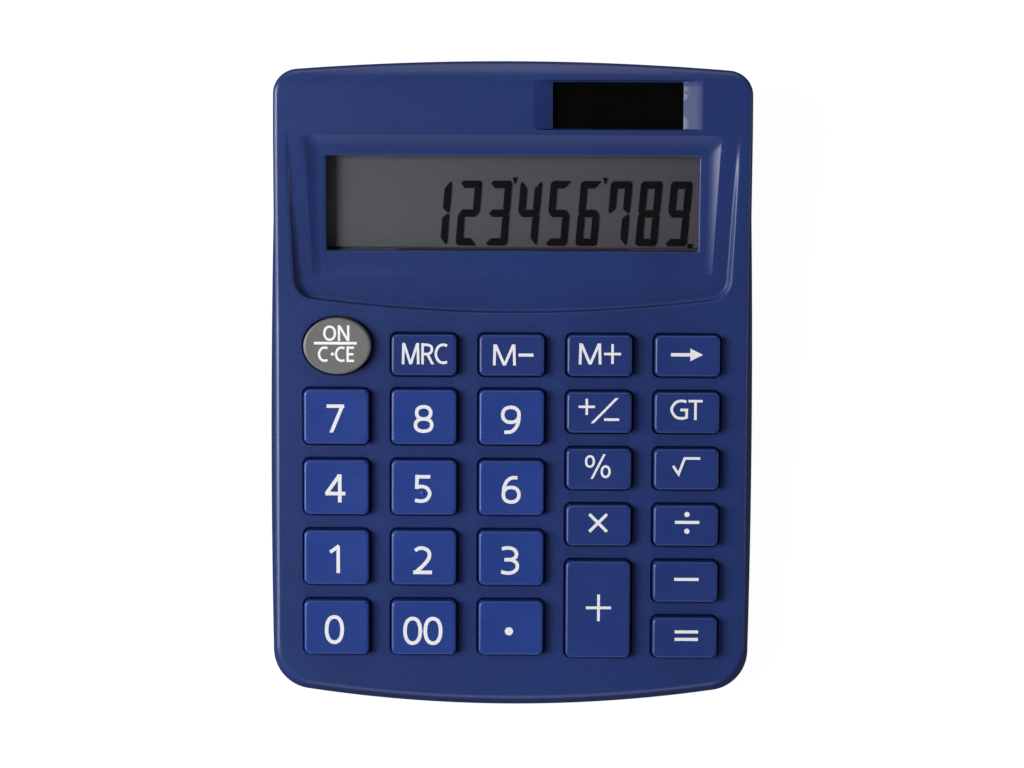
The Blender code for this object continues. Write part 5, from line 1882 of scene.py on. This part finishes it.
class CarriedNodes:
    """CAD nodes that keep their own shape and take a procedural finish."""

    FINISHES = {
        Palette.pane: ("display_window",), Palette.panel: ("lcd_panel",), Palette.holder: ("lcd_holder",),
        Palette.solar: ("solar_cell",), Palette.keypad: ("rubber_keypad",), Palette.board: ("circuit_board",),
        Palette.resin: ("controller_chip",), Palette.film: ("display_ribbon",),
        Palette.nickel: ("button_cell",),
        Palette.brass: ("contact_positive", "contact_negative"),
        Palette.steel: ("board_screw_1", "board_screw_2", "board_screw_3", "board_screw_4",
                        "holder_screw_left", "holder_screw_right"),
        Palette.red_wire: ("solar_lead_1", "battery_lead_1"),
        Palette.black_wire: ("solar_lead_2", "battery_lead_2"),
    }

    def dress(self) -> None:
        """Give each node its finish."""
        for finish, names in self.FINISHES.items():
            for name in names:
                node = frame["nodes"][name]
                node.data.materials.clear()
                node.data.materials.append(finish.material())
                log.info("%s: carried over in %s", name, finish.name)


# ---------------------------------------------------------------- studio


@dataclass
class Studio:
    """Pale paper sweep, soft overhead light and a camera straight above."""

    camera_height: float = 600.0
    focal_length: float = 94.0
    aim: tuple[float, float] = (0.04, 0.40)
    roll_degrees: float = 0.25
    dome: float = 0.03
    key_watts: float = 12.4
    key_at: tuple[float, float, float] = (-720.0, 0.0, 800.0)
    key_size: float = 520.0
    side_watts: tuple[float, float, float, float] = (5.4, 2.6, 1.4, 2.2)
    side_reach: float = 900.0
    side_height: float = 430.0
    side_size: float = 650.0

    def build(self) -> None:
        """Set up floor, light and camera."""
        self._floor()
        self._light("key_light", self.key_at, self.key_size, self.key_watts)
        for i, watts in enumerate(self.side_watts):
            turn = math.pi - i * math.pi / 2
            at = (self.side_reach * math.cos(turn), self.side_reach * math.sin(turn), self.side_height)
            self._light(f"side_light_{i + 1}", at, self.side_size, watts)
        world = bpy.data.worlds.new("studio_air")
        world.use_nodes = True
        world.node_tree.nodes["Background"].inputs["Color"].default_value = (1.0, 1.0, 1.0, 1.0)
        world.node_tree.nodes["Background"].inputs["Strength"].default_value = self.dome
        bpy.context.scene.world = world
        bpy.context.scene.view_settings.view_transform = "Standard"
        self._camera()

    def _floor(self) -> None:
        """Large flat sheet just under the feet."""
        half = 2000.0
        plan = rectangle(2 * half, 2 * half, 200.0, arc_steps=12, edge_steps=8)
        surface = Surface()
        surface.cap(surface.add(levelled(plan, -0.05)))
        floor = solid_object(surface.mesh("paper_floor"))
        floor.data.materials.append(Palette.paper.material())
        if floor.data.polygons[0].normal.z < 0:
            floor.data.flip_normals()
        floor.visible_glossy = False

    def _light(self, name: str, at: Sequence, size: float, watts: float) -> None:
        """Square soft box aimed at the calculator.

        Args:
            name: Name of the lamp.
            at: Where it stands.
            size: Side of the square.
            watts: Its power.
        """
        lamp = bpy.data.lights.new(name, "AREA")
        lamp.size = size * MM
        lamp.energy = watts
        item = bpy.data.objects.new(name, lamp)
        bpy.context.scene.collection.objects.link(item)
        item.location = Vector(at) * MM
        item.rotation_mode = "QUATERNION"
        item.rotation_quaternion = (-item.location).to_track_quat("-Z", "Y")

    def _camera(self) -> None:
        """Long lens looking straight down, the display end uppermost."""
        data = bpy.data.cameras.new("camera")
        data.lens = self.focal_length
        data.sensor_width = 36.0
        data.clip_start, data.clip_end = 0.05, 20.0
        item = bpy.data.objects.new("camera", data)
        bpy.context.scene.collection.objects.link(item)
        item.location = Vector((*self.aim, self.camera_height)) * MM
        item.rotation_euler = (0.0, 0.0, math.radians(self.roll_degrees))
        bpy.context.scene.camera = item


def tilted_plane(x: float, y: float, z: float, rise: float) -> Plane:
    """Working plane with a given rise over run."""
    return Plane(x, y, z, math.atan(rise))


def main() -> None:
    """Build the calculator piece by piece, then its studio."""
    shape = HousingShape()
    deck = tilted_plane(0.0, 0.0, shape.front_z - shape.top_front * shape.deck_slope, shape.deck_slope)
    glass = tilted_plane(0.0, 39.35, 22.203, 0.1978)
    solar = tilted_plane(22.6, 60.3, float(shape.crown(np.array(60.3))), shape.band_slope)
    screws = ((-40.0, -63.0), (40.0, -63.0), (-45.0, 63.2), (45.0, 63.2))
    feet = ((-42.0, -50.0), (42.0, -50.0), (-42.0, 50.0), (42.0, 50.0))
    keypad = Keypad(deck)
    bay = BatteryBay()
    base = LowerShell(shape, bay, feet, screws)

    UpperShell(shape, deck, glass, solar, keypad.keys).build()
    base.build()
    bay.build(base.body())
    keypad.build()
    for i, at in enumerate(feet):
        Foot(i + 1, at).build()
    for i, at in enumerate(screws):
        CaseScrew(i + 1, at, 9.0 if i < 2 else 14.0).build()
    SegmentReadout(glass).build()
    CarriedNodes().dress()
    Studio().build()


if __name__ == "__main__":
    main()
